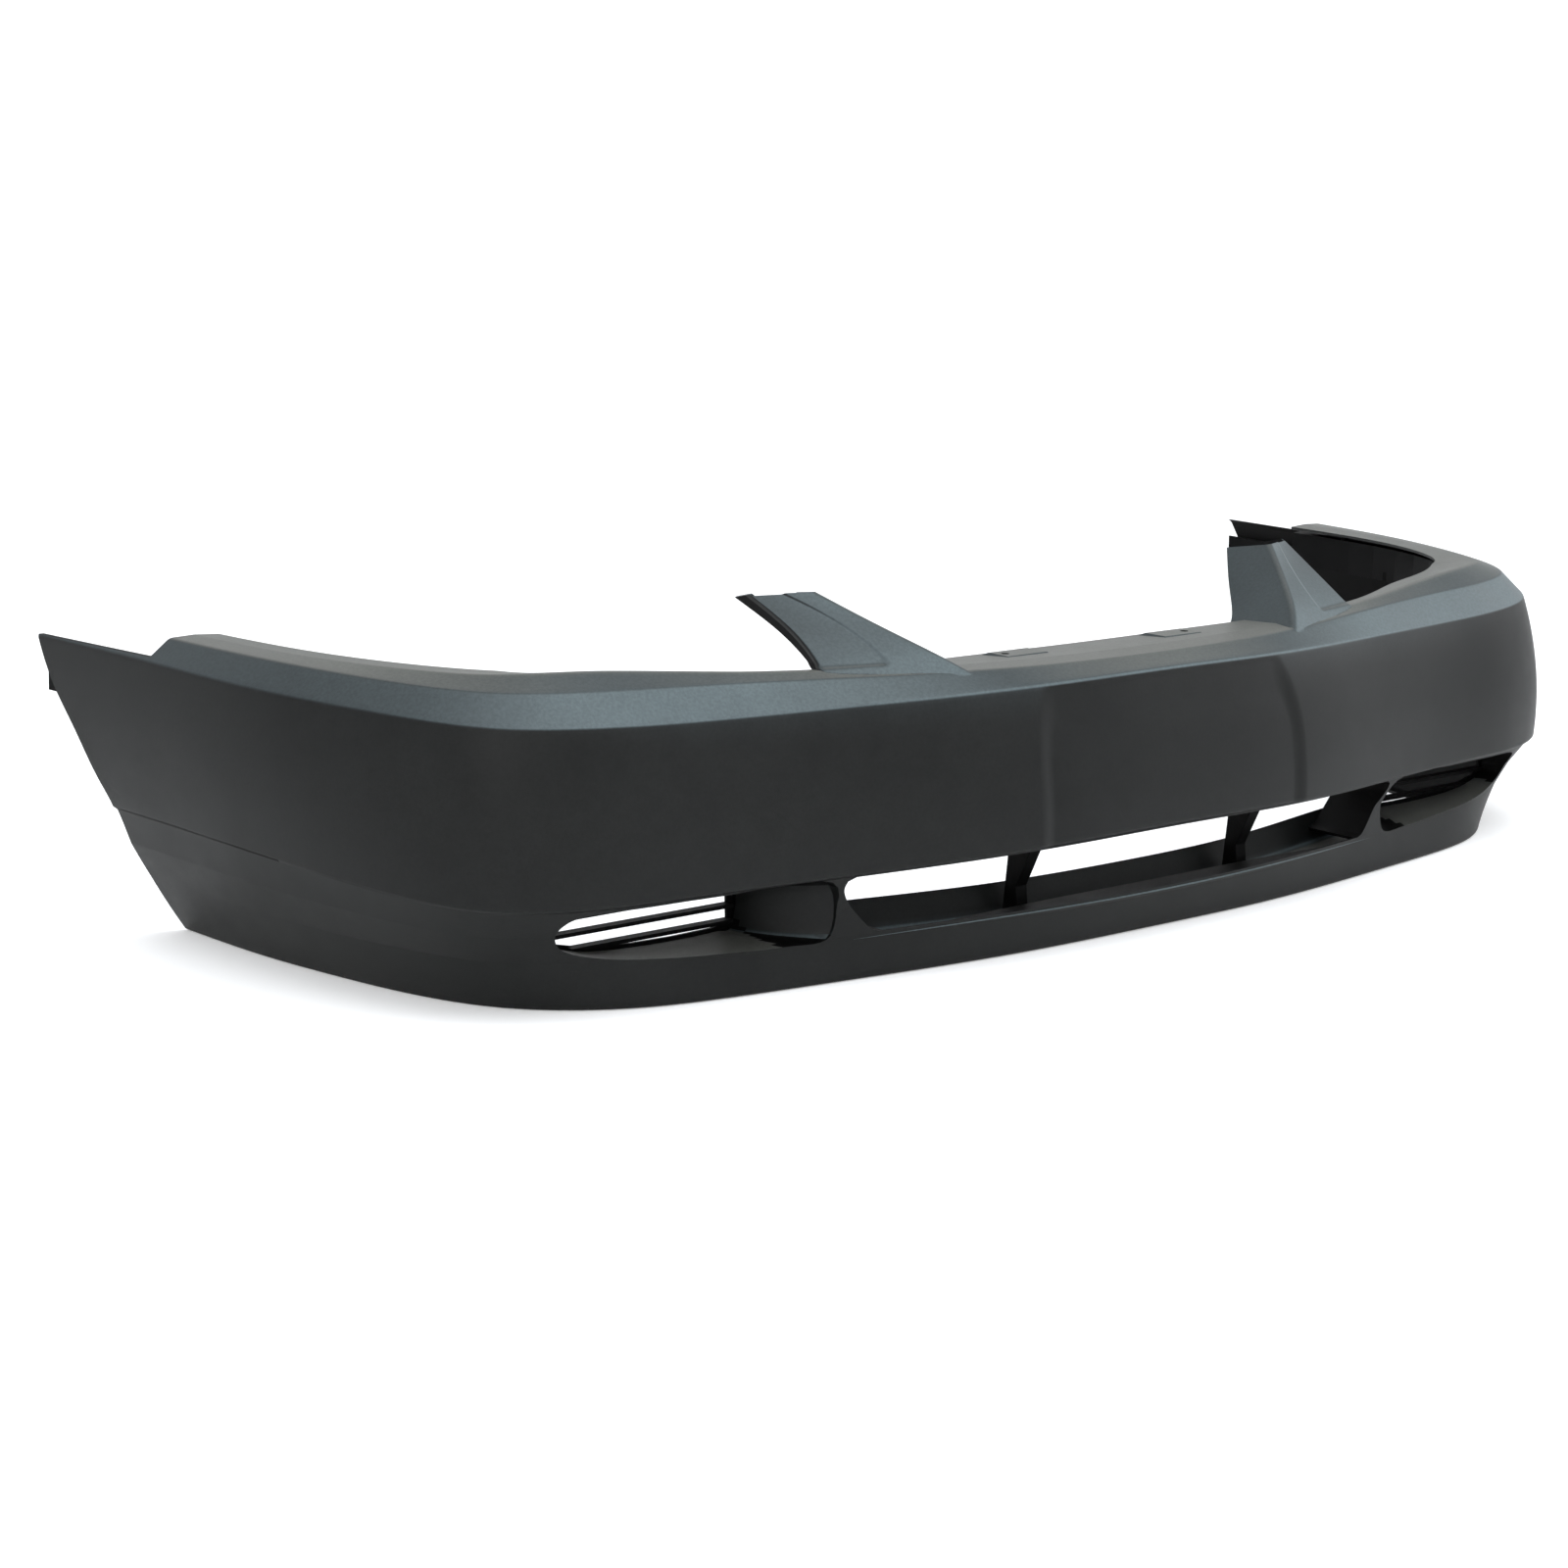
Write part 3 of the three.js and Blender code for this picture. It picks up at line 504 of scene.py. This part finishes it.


# Painted shade: the tint of faces that look up is darkened on faces turned to the car's right:
# (sideways part of the normal, tint).
PAINTED_SIDE_SHADE = [(0.0, (0.22, 0.22, 0.22)), (0.3, (0.66, 0.66, 0.66)), (0.6, (1.0, 1.0, 1.0))]


def moulded(name, dark, light, rough, grain, grain_height, specular, dust_and_light=()):
    """Moulded plastic: mottled colour, fine grain and uneven gloss. The last argument lists (level,
    colour) of a tint on faces that look up, dust together with painted light: level is the height
    of the normal."""
    material, tree, shader = nodes_of(name)
    link = tree.links.new
    place = tree.nodes.new("ShaderNodeTexCoord").outputs["Object"]
    cloud = add(tree, "ShaderNodeTexNoise", Scale=9.0, Detail=5.0, Roughness=0.62)
    speck = add(tree, "ShaderNodeTexNoise", Scale=grain * 0.3, Detail=3.0, Roughness=0.6)
    fine = add(tree, "ShaderNodeTexNoise", Scale=grain, Detail=2.0, Roughness=0.55)
    for texture in (cloud, speck, fine):
        link(place, texture.inputs["Vector"])
    colour = ramp(tree, cloud.outputs["Fac"], [(0.3, dark), (0.7, light)])
    if dust_and_light:
        # Faces that look up get a tint by the height of the normal: dust together with painted
        # light, much lighter than the bare plastic, with a painted bluish sky reflection on slopes.
        normal = tree.nodes.new("ShaderNodeNewGeometry").outputs["Normal"]
        parts = tree.nodes.new("ShaderNodeSeparateXYZ")
        link(normal, parts.inputs[0])
        dust_and_light_film = ramp(tree, parts.outputs["Z"], dust_and_light)
        first, last = dust_and_light[0][0], dust_and_light[1][0]
        amount = add(tree, "ShaderNodeMapRange", From_Min=first, From_Max=last)
        link(parts.outputs["Z"], amount.inputs["Value"])
        patchy = ramp(tree, cloud.outputs["Fac"], [(0.3, grey(0.8)), (0.65, grey(1.0))])
        dust_and_light_film = blend(tree, "MULTIPLY", 1.0, dust_and_light_film, patchy)
        # Painted shade: faces turned to the car's right get a darker tint.
        lean = add(tree, "ShaderNodeMapRange", From_Min=-0.75, From_Max=0.25)
        link(parts.outputs["X"], lean.inputs["Value"])
        side_shade = ramp(tree, lean.outputs[0], PAINTED_SIDE_SHADE)
        dust_and_light_film = blend(tree, "MULTIPLY", 1.0, dust_and_light_film, side_shade)
        colour = blend(tree, "MIX", amount.outputs[0], colour, dust_and_light_film)
    flecks = ramp(tree, speck.outputs["Fac"], [(0.35, grey(0.78)), (0.65, grey(1.0))])
    colour = blend(tree, "MULTIPLY", 0.9, colour, flecks)
    link(colour, shader.inputs["Base Color"])
    gloss = ramp(tree, cloud.outputs["Fac"], [(0.3, grey(rough - 0.05)), (0.7, grey(rough + 0.06))])
    link(gloss, shader.inputs["Roughness"])
    bump = add(tree, "ShaderNodeBump", Strength=0.6, Distance=grain_height)
    link(fine.outputs["Fac"], bump.inputs["Height"])
    link(bump.outputs["Normal"], shader.inputs["Normal"])
    shader.inputs["Specular IOR Level"].default_value = specular
    return material


def plated_steel(name):
    """Zinc-plated steel with fine brushing and a slight yellow stain."""
    material, tree, shader = nodes_of(name)
    link = tree.links.new
    place = tree.nodes.new("ShaderNodeTexCoord").outputs["Object"]
    stain = add(tree, "ShaderNodeTexNoise", Scale=240.0, Detail=3.0)
    scratch = add(tree, "ShaderNodeTexNoise", Scale=1800.0, Detail=2.0)
    link(place, stain.inputs["Vector"])
    link(place, scratch.inputs["Vector"])
    tones = [(0.35, (0.42, 0.41, 0.37)), (0.7, (0.62, 0.62, 0.6))]
    colour = ramp(tree, stain.outputs["Fac"], tones)
    link(colour, shader.inputs["Base Color"])
    gloss = ramp(tree, stain.outputs["Fac"], [(0.3, grey(0.28)), (0.7, grey(0.45))])
    link(gloss, shader.inputs["Roughness"])
    bump = add(tree, "ShaderNodeBump", Strength=0.3, Distance=0.00003)
    link(scratch.outputs["Fac"], bump.inputs["Height"])
    link(bump.outputs["Normal"], shader.inputs["Normal"])
    shader.inputs["Metallic"].default_value = 1.0
    return material


# Tint by how level a face is, real dust together with painted light: a bluish grey on slopes is a
# painted sky reflection, a darker band lies between, beige on top.
DUST_AND_LIGHT = [
    (0.30, (0.010, 0.011, 0.011)), (0.62, (0.100, 0.128, 0.138)), (0.76, (0.090, 0.114, 0.121)),
    (0.87, (0.044, 0.055, 0.058)), (0.985, (0.098, 0.101, 0.092)),
]
# Dark tone, light tone, roughness, grain scale, grain height in metres, specular, tint of dust and
# painted light.
PLASTICS = {
    "cover_plastic": (
        (0.0042, 0.0048, 0.0047), (0.0082, 0.0090, 0.0087), 0.48, 1000.0, 0.00016, 0.17, DUST_AND_LIGHT,
    ),
    # Raw plastic of the inner faces; also set on pocket walls and the underside of the side crease
    # as painted shade.
    "cover_inside_and_shade": (
        (0.0016, 0.0016, 0.0017), (0.0036, 0.0035, 0.0035), 0.6, 700.0, 0.0002, 0.06,
    ),
    "black_plastic": (
        (0.0012, 0.0012, 0.0013), (0.0026, 0.0026, 0.0027), 0.52, 1300.0, 0.0001, 0.04,
    ),
    "nylon_black": (
        (0.009, 0.009, 0.0095), (0.016, 0.016, 0.017), 0.36, 2200.0, 0.00004, 0.45,
    ),
}
MATERIAL = {name: moulded(name, *looks) for name, looks in PLASTICS.items()}
MATERIAL["zinc_steel"] = plated_steel("zinc_steel")


# ---------------------------------------------------------------- the cover
def skin_grid():
    """Outer skin of the whole cover, with the sunk plate pad."""
    even = np.linspace(0, LAST, 401)
    dense = MIDDLE + np.outer((-1, 1), np.arange(0.80, 1.02, 0.012)).ravel()
    t = np.unique(np.concatenate([even, dense]).round(6))
    corners, n = section_corners(t)
    face = CORNERS.index("ridge")
    grid, tags = fold(corners, RADII, ROWS_BETWEEN, (face, n, FACE_BULGE))
    height = np.linalg.norm(corners[face + 1] - corners[face], axis=1)
    x = np.abs(corners[face][:, 0])
    for row, (segment, s) in enumerate(tags):
        if segment == face:
            below = (PLATE_TOP - s * height) * PLATE_FADE
            gap = rounded_box_distance(x - PLATE_X, below, PLATE_CORNER)
            weight = smoothstep(0.5 - gap / PLATE_SLOPE)
        elif segment == face + 1:
            gap = x - PLATE_X
            weight = smoothstep(0.5 - gap / PLATE_SLOPE) * np.clip(1 - s, 0, 1)
        else:
            continue
        grid[:, row] -= n * (PLATE_DEPTH * weight)[:, None]
    return t, corners, grid, tags


STATIONS, SHARP, SKIN, TAGS = skin_grid()


def height_over(x, corner):
    """Height of a corner line of the skin over x, on the front of the cover."""
    line = SHARP[CORNERS.index(corner)]
    return np.interp(x, line[:, 0], line[:, 2])


def mouth_outline():
    """The middle opening: follows the face edge above and the lip below."""
    top_x = np.linspace(-MOUTH_TOP_X + 10, MOUTH_TOP_X - 10, 61)
    low_x = np.linspace(-MOUTH_BOTTOM_X + 8, MOUTH_BOTTOM_X - 8, 61)
    top = np.stack([top_x, height_over(top_x, "under") - 1], axis=1)
    low = np.stack([low_x, height_over(low_x, "lip_top") + 1], axis=1)
    z_top, z_low = top[-1, 1], low[-1, 1]
    anchor = np.array([
        (MOUTH_BOTTOM_X, z_low + 2), (MOUTH_BOTTOM_X + 11, z_low + 11),
        (MOUTH_TOP_X - 9, z_top - 26),
        (MOUTH_TOP_X - 1, z_top - 12), (MOUTH_TOP_X - 2, z_top - 4),
    ])
    end = spline(anchor)(np.linspace(0, len(anchor) - 1, 15))
    other = end[::-1] * (-1, 1)
    return np.concatenate([low, end, top[::-1], other])


def behind_skin(depth):
    """Everything behind the middle of the wall, from the ridge down, over the front."""
    first = next(i for i, (segment, _) in enumerate(TAGS) if segment == CORNERS.index("ridge"))
    grid = SKIN[np.abs(STATIONS - MIDDLE) <= FRONT_STATIONS][::2, first::3]
    grid = grid + np.array((0, WALL / 2, 0))
    cols, rows = grid.shape[:2]
    points = np.concatenate([grid.reshape(-1, 3), grid.reshape(-1, 3) + (0, depth, 0)])
    count = cols * rows
    index = np.arange(count).reshape(cols, rows)
    faces = []
    for i in range(cols - 1):
        for j in range(rows - 1):
            a, b, c, d = index[i, j], index[i, j + 1], index[i + 1, j + 1], index[i + 1, j]
            faces += [[a, b, c, d], [a + count, d + count, c + count, b + count]]
    for line in (index[0], index[-1], index[:, 0], index[:, -1]):
        faces += [[p, q, q + count, p + count] for p, q in zip(line[:-1], line[1:])]
    return make("core", points, faces, 0)


def gutter():
    """Trough behind the lip, between the ends of the middle opening."""
    line = SHARP[CORNERS.index("lip_top")]
    edge = line[np.abs(line[:, 0]) < GUTTER_HALF]
    x, y, z = edge.T
    low = np.full_like(x, GUTTER_Z)
    corners = [
        np.stack([x * scale, y + back, low + rise], axis=1) for back, scale, rise in GUTTER_LINES
    ]
    corners.append(np.stack([x, y + WALL / 2, z - 1], axis=1))
    grid, _ = fold(corners, [0, 8, 8, 0], [5, 6, 5])
    return thicken("gutter", grid, WALL, (0, 0, 1), inside=OUTSIDE)


def pocket_rings(extra, y_end, side):
    """Rings of a side pocket: its walls sweep back from the skin to the louvre plane."""
    front = grow(smooth_loop(POCKET_FRONT), extra)
    rear = grow(smooth_loop(POCKET_REAR), extra)
    rings = [ring(front, AHEAD_Y + 10, side)]
    y_rear = LOUVER_Y - WALL
    for s in np.linspace(0, 1, 10):
        inboard = 1 - (1 - s) ** POCKET_SWEEP
        ease = np.where(front[:, :1] < POCKET_MIDDLE, inboard, s)
        shape = front + (rear - front) * ease
        rings.append(ring(shape, POCKET_FRONT_Y + (y_rear - POCKET_FRONT_Y) * s, side))
    rings.append(ring(rear, y_end, side))
    return rings


def rivet_spots(side):
    """Centres of the rivets of one louvre insert, in layout x and z, from the frame."""
    word = dict(SIDES)[side]
    spots = []
    for k in (1, 2, 3):
        low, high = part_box(f"rivet_pin_{word}_{k}")
        spots.append(((low.x + high.x) / 2 / MM, (low.z + high.z) / 2 / MM))
    return spots


def pocket_flange(side):
    """Flange that the louvre insert sits on, with an ear at each rivet."""
    y0, y1 = LOUVER_Y - WALL, LOUVER_Y
    flange = plate(grow(smooth_loop(POCKET_REAR), FLANGE), y0, y1, side)
    spots = rivet_spots(side)
    ears = [rod(EAR_RADIUS, (x, y0, z), (x, y1, z)) for x, z in spots]
    holes = [rod(RIVET_HOLE, (x, y0 - 1, z), (x, y1 + 1, z)) for x, z in spots]
    return cut(join(flange, *ears), *holes)


def prong(side):
    """Finger between the grille and the headlamp: a face with a shallow recess, a deep wall
    towards the grille and a short wall towards the headlamp."""
    v = np.linspace(0, len(PRONG_INNER) - 1, 70)
    inner, outer = spline(PRONG_INNER)(v), spline(PRONG_OUTER)(v)
    corners = [
        inner + spline(PRONG_GRILLE_WALL)(v), inner, outer, outer + spline(PRONG_LAMP_WALL)(v),
    ]
    grid, tags = fold(corners, [0, 7, 5, 0], [10, 60, 6])
    facing = (0, -1, 1)
    rise = np.clip((grid[..., 2] - PRONG_FOOT_Z) / PRONG_RISE, 0, 1)
    step_x = PRONG_RECESS_X[0] + PRONG_RECESS_X[1] * rise ** 2
    below = PRONG_RECESS_Z - grid[..., 2]
    gap = rounded_box_distance(step_x - grid[..., 0], below, PRONG_RECESS_CORNER)
    depth = PRONG_RECESS * smoothstep(0.5 - gap / PRONG_RECESS_SLOPE)
    for row, (segment, _) in enumerate(tags):
        if segment == 0:
            depth[:, row] = 0
    grid = grid - normals(grid, facing) * depth[..., None]
    grid[..., 0] *= side
    cols, rows = grid.shape[:2]
    solid = thicken("prong", grid, WALL, facing)
    lamp_side = [j for j, (segment, _) in enumerate(tags[:-1]) if segment == 2]
    index = np.arange((cols - 1) * (rows - 1)).reshape(cols - 1, rows - 1)[:, lamp_side[1]:]
    for face in index.ravel():
        solid.data.polygons[int(face)].material_index = INSIDE
    return solid


def screw_axis(node):
    """Seat point and unit direction towards the head of a CAD screw, in layout units."""
    points = np.array([v.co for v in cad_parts[node].data.vertices]) / MM
    centre = points.mean(0)
    axis = np.linalg.svd(points - centre)[2][0]
    along = (points - centre) @ axis
    away = np.linalg.norm(points - centre - np.outer(along, axis), axis=1)
    rim = along[away > HEAD_RADIUS]
    if rim.mean() < 0:
        axis, rim = -axis, -rim
    seat = centre + axis * rim.min() - np.array((0, SHIFT_Y, 0))
    return seat, axis


def boss(node):
    """Screw boss behind the skin, in line with a CAD screw, and its bore."""
    seat, axis = screw_axis(node)
    skin = seat - axis * (WALL + BOSS_LENGTH + 2 * GAP + BRACKET_WALL)
    reach = WALL + BOSS_LENGTH
    solid = rod(BOSS_RADIUS, skin + axis * 1.5, skin + axis * reach)
    bore = rod(BOSS_BORE, skin + axis * WALL, skin + axis * (reach + 5), 20)
    return solid, bore


def seat(side):
    """Flat seat for the grille carrier, with sloped sides, and its bolt hole."""
    x, half = SEAT["x"] * side, SEAT["wide"] / 2
    rings = []
    for z, wider in ((SEAT["low"], SEAT["skirt"]), (SEAT["top"], 0)):
        x0, x1 = x - half - wider, x + half + wider
        y0, y1 = SEAT["y"] - wider, SEAT["y"] + SEAT["deep"] + wider
        rings.append([(x0, y0, z), (x1, y0, z), (x1, y1, z), (x0, y1, z)])
    bolt = (x + side * SEAT["bolt"], SEAT["y"] + SEAT["deep"] / 2)
    return loft("seat", rings, OUTSIDE), rod(SEAT["hole"], (*bolt, 280), (*bolt, 310))


def mouth_walls(mouth):
    """Return round the mouth, behind the skin."""
    walls = cut(plate(grow(mouth, WALL), AHEAD_Y, MOUTH_BACK),
                plate(mouth, AHEAD_Y - 1, MOUTH_BACK + 1))
    walls = common(walls, behind_skin(CORE_DEPTH))
    return cut(walls, *(box(*trim) for trim in MOUTH_TRIMS))


def pocket_walls(side):
    """Walls of a side pocket, between the skin and the louvre plane."""
    # These walls take the dark inside material as painted shade in the pocket, until choose_slots
    # gives some of them the face material.
    wide = loft("wide", pocket_rings(WALL, LOUVER_Y, side))
    wide = cut(wide, loft("pocket", pocket_rings(0, LOUVER_Y + 2, side)))
    near, far, *rest = POCKET_REAR_ZONE
    zone = join(behind_skin(CORE_DEPTH), box(*sorted((near * side, far * side)), *rest))
    return common(wide, zone)


def choose_slots(mesh):
    """Pocket floors and swept pocket walls look like the face; on the floors this is painted light
    let in through the louvres. The underside of the side crease is dark, painted shade from the
    inside material."""
    for polygon in mesh.polygons:
        x, y, z = polygon.center
        level = polygon.normal.z
        facing_out = x * polygon.normal.x > 0
        reach = abs(x)
        pocket = POCKET_FRONT[0][0] - 14 < reach < POCKET_FRONT[7][0] and y < LOUVER_Y - WALL
        floor_side = level > 0.6 and reach > POCKET_REAR[0][0] and y > 62 and z < 60
        swept = abs(level) < 0.6 and reach < POCKET_REAR[0][0] - 2 and 44 < z < 108
        # Painted light: pocket floors take the face material, whose tint lightens them as if lit
        # through the louvres.
        if pocket and (floor_side or (swept and facing_out)):
            polygon.material_index = OUTSIDE
        # Painted shade: the underside of the side crease takes the dark inside material.
        if level < -0.55 and y > CREASE_SHADE_FROM_Y and 110 < z < 140 and facing_out:
            polygon.material_index = INSIDE


def cover():
    """The one moulded cover."""
    shell = thicken("cover_skin", SKIN, WALL, (0, -1, 0))
    mouth = mouth_outline()
    shell = join(shell, mouth_walls(mouth), gutter())
    for side, _ in SIDES:
        pocket = loft("pocket", pocket_rings(0, LOUVER_Y + 2, side))
        shell = join(shell, pocket_walls(side), pocket_flange(side))
        shell = cut(shell, pocket)
    shell = cut(shell, common(plate(mouth, AHEAD_Y, MOUTH_BACK), box(*MOUTH_SKIN)))
    solids, bores = [], []
    for side, word in SIDES:
        pad, hole = seat(side)
        solids += [prong(side), pad]
        bores.append(hole)
        lamp = [f"lamp_screw_{word}_{k}" for k in (1, 2, 3)]
        fender = [f"fender_screw_{word}_{k}" for k in (1, 2)]
        for node in lamp + fender:
            solid, bore = boss(node)
            solids.append(solid)
            bores.append(bore)
        for k in (1, 2):
            at, axis = screw_axis(f"strut_screw_{word}_{k}")
            bores.append(rod(STRUT_BORE, at - axis * 6, at + axis * 2, 20))
    shell = join(shell, *solids)
    shell = cut(shell, *bores)
    shell = cut(shell, box(*DECK_END))
    shell = cut(shell, spline_arch())
    shell.name = "cover"
    choose_slots(shell.data)
    return shell


def spline_arch():
    """Cutter along the wheel arch, which bounds the rear of both side panels."""
    curve = spline(ARCH[:8])(np.linspace(0, 7, 50))
    outline = [tuple(p) for p in curve] + ARCH[8:]
    rings = [[(x, y, z) for y, z in outline] for x in (-1200, 1200)]
    return loft("arch", rings)


def finish_shell(shell):
    """Scale to metres in the frame, and shade smooth with hard edges kept."""
    shell.data.transform(Matrix.Translation((0, SHIFT_Y * MM, 0)) @ Matrix.Scale(MM, 4))
    shell.data.set_sharp_from_angle(angle=math.radians(30))
    for polygon in shell.data.polygons:
        polygon.use_smooth = True
    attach(shell, "cover")
    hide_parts("cover_shell")


finish_shell(cover())


# ---------------------------------------------------------------- the smaller pieces
def finish_node(name, material, width):
    """A CAD node keeps its shape, gets small rounded edges and its material."""
    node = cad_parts[name]
    node.data.materials.clear()
    node.data.materials.append(MATERIAL[material])
    weld = node.modifiers.new("weld", "WELD")
    weld.merge_threshold = 0.01 * MM
    flat = node.modifiers.new("flat", "DECIMATE")
    flat.decimate_type = "DISSOLVE"
    flat.angle_limit = math.radians(1.5)
    edge = node.modifiers.new("edge", "BEVEL")
    edge.limit_method = "ANGLE"
    edge.angle_limit = math.radians(35)
    edge.width = width * MM
    edge.segments = 2


for _, word in SIDES:
    finish_node(f"louver_insert_{word}", "black_plastic", 0.5)
    finish_node(f"support_strut_{word}", "black_plastic", 1.2)
    finish_node(f"headlamp_bracket_{word}", "black_plastic", 0.5)
    finish_node(f"fender_bracket_{word}", "black_plastic", 0.5)
    for k in (1, 2, 3):
        finish_node(f"rivet_body_{word}_{k}", "nylon_black", 0.25)
        finish_node(f"rivet_pin_{word}_{k}", "nylon_black", 0.25)
        finish_node(f"lamp_screw_{word}_{k}", "zinc_steel", 0.2)
    for k in (1, 2):
        finish_node(f"fender_screw_{word}_{k}", "zinc_steel", 0.2)
        finish_node(f"strut_screw_{word}_{k}", "zinc_steel", 0.2)


# ---------------------------------------------------------------- floor, light and camera
def floor():
    """A wide pale floor that rises smoothly into a pale backdrop all round."""
    flat, rise, wall, sides = 5.0, 3.0, 6.0, 96
    bend = np.linspace(0, math.pi / 2, 12)
    profile = [(r, 0.0) for r in np.linspace(0.02, flat, 8)]
    profile += [(flat + rise * math.sin(a), rise * (1 - math.cos(a))) for a in bend[1:]]
    profile.append((flat + rise, wall))
    turn = np.linspace(0, 2 * math.pi, sides, endpoint=False)
    points = [(r * math.cos(a), r * math.sin(a), z) for r, z in profile for a in turn]
    faces = [tuple(range(sides))]
    for i in range(len(profile) - 1):
        for k in range(sides):
            nxt = (k + 1) % sides
            a, b = i * sides, (i + 1) * sides
            faces.append((a + k, b + k, b + nxt, a + nxt))
    mesh = bpy.data.meshes.new("floor")
    mesh.from_pydata(points, [], faces)
    for polygon in mesh.polygons:
        polygon.use_smooth = True
    obj = bpy.data.objects.new("floor", mesh)
    bpy.context.scene.collection.objects.link(obj)
    material, tree, shader = nodes_of("pale_floor")
    place = tree.nodes.new("ShaderNodeTexCoord").outputs["Object"]
    cloud = add(tree, "ShaderNodeTexNoise", Scale=0.8, Detail=2.0)
    tree.links.new(place, cloud.inputs["Vector"])
    colour = ramp(tree, cloud.outputs["Fac"], [(0.3, grey(0.88)), (0.7, grey(0.9))])
    tree.links.new(colour, shader.inputs["Base Color"])
    shader.inputs["Roughness"].default_value = 0.9
    shader.inputs["Specular IOR Level"].default_value = 0.1
    shader.inputs["Emission Color"].default_value = (1, 1, 1, 1)
    shader.inputs["Emission Strength"].default_value = 0.22
    mesh.materials.append(material)
    obj.location.z = -0.0005


def soft_light(name, at, target, size, power, colour):
    lamp = bpy.data.lights.new(name, "AREA")
    lamp.shape = "RECTANGLE"
    lamp.size, lamp.size_y = size
    lamp.energy = power
    lamp.color = colour
    obj = bpy.data.objects.new(name, lamp)
    bpy.context.scene.collection.objects.link(obj)
    obj.location = at
    obj.rotation_euler = (Vector(target) - Vector(at)).to_track_quat("-Z", "Y").to_euler()


def lights():
    world = bpy.data.worlds.new("studio")
    world.use_nodes = True
    back = world.node_tree.nodes["Background"]
    back.inputs["Color"].default_value = (0.95, 0.97, 1.0, 1)
    back.inputs["Strength"].default_value = 0.9
    bpy.context.scene.world = world
    bpy.context.scene.view_settings.view_transform = "Standard"
    soft_light("top_light", (-0.3, -0.6, 3.2), (0, 0, 0.2), (3.6, 3.0), 90, (0.93, 0.97, 1.0))
    soft_light("front_light", (-2.6, -2.6, 1.8), (0, 0, 0.2), (1.6, 1.2), 18, (1.0, 0.98, 0.95))
    soft_light("side_light", (2.7, -0.9, 1.4), (0.7, -0.2, 0.2), (1.4, 1.1), 18, (0.96, 0.98, 1.0))


CAMERA_AT = (-2.4178, -2.2416, 0.8221)       # metres, in layout axes
CAMERA_TURN = (40.1016, 11.5587, 0.86)       # yaw, pitch down and roll, in degrees
CAMERA_LENS = 72.817


def camera():
    """Camera at the viewing angle of a three-quarter front shot from the car's right."""
    yaw, pitch, roll = (math.radians(a) for a in CAMERA_TURN)
    ahead = math.cos(pitch)
    look = Vector((math.sin(yaw) * ahead, math.cos(yaw) * ahead, -math.sin(pitch)))
    level = look.cross(Vector((0, 0, 1))).normalized()
    up = level.cross(look)
    right = level * math.cos(roll) + up * math.sin(roll)
    top = up * math.cos(roll) - level * math.sin(roll)
    data = bpy.data.cameras.new("camera")
    data.sensor_width = 36
    data.lens = CAMERA_LENS
    data.clip_end = 60
    obj = bpy.data.objects.new("camera", data)
    bpy.context.scene.collection.objects.link(obj)
    turn = Matrix((right, top, -look)).transposed().to_4x4()
    x, y, z = CAMERA_AT
    obj.matrix_world = Matrix.Translation((x, y + SHIFT_Y * MM, z)) @ turn
    bpy.context.scene.camera = obj


floor()
lights()
camera()
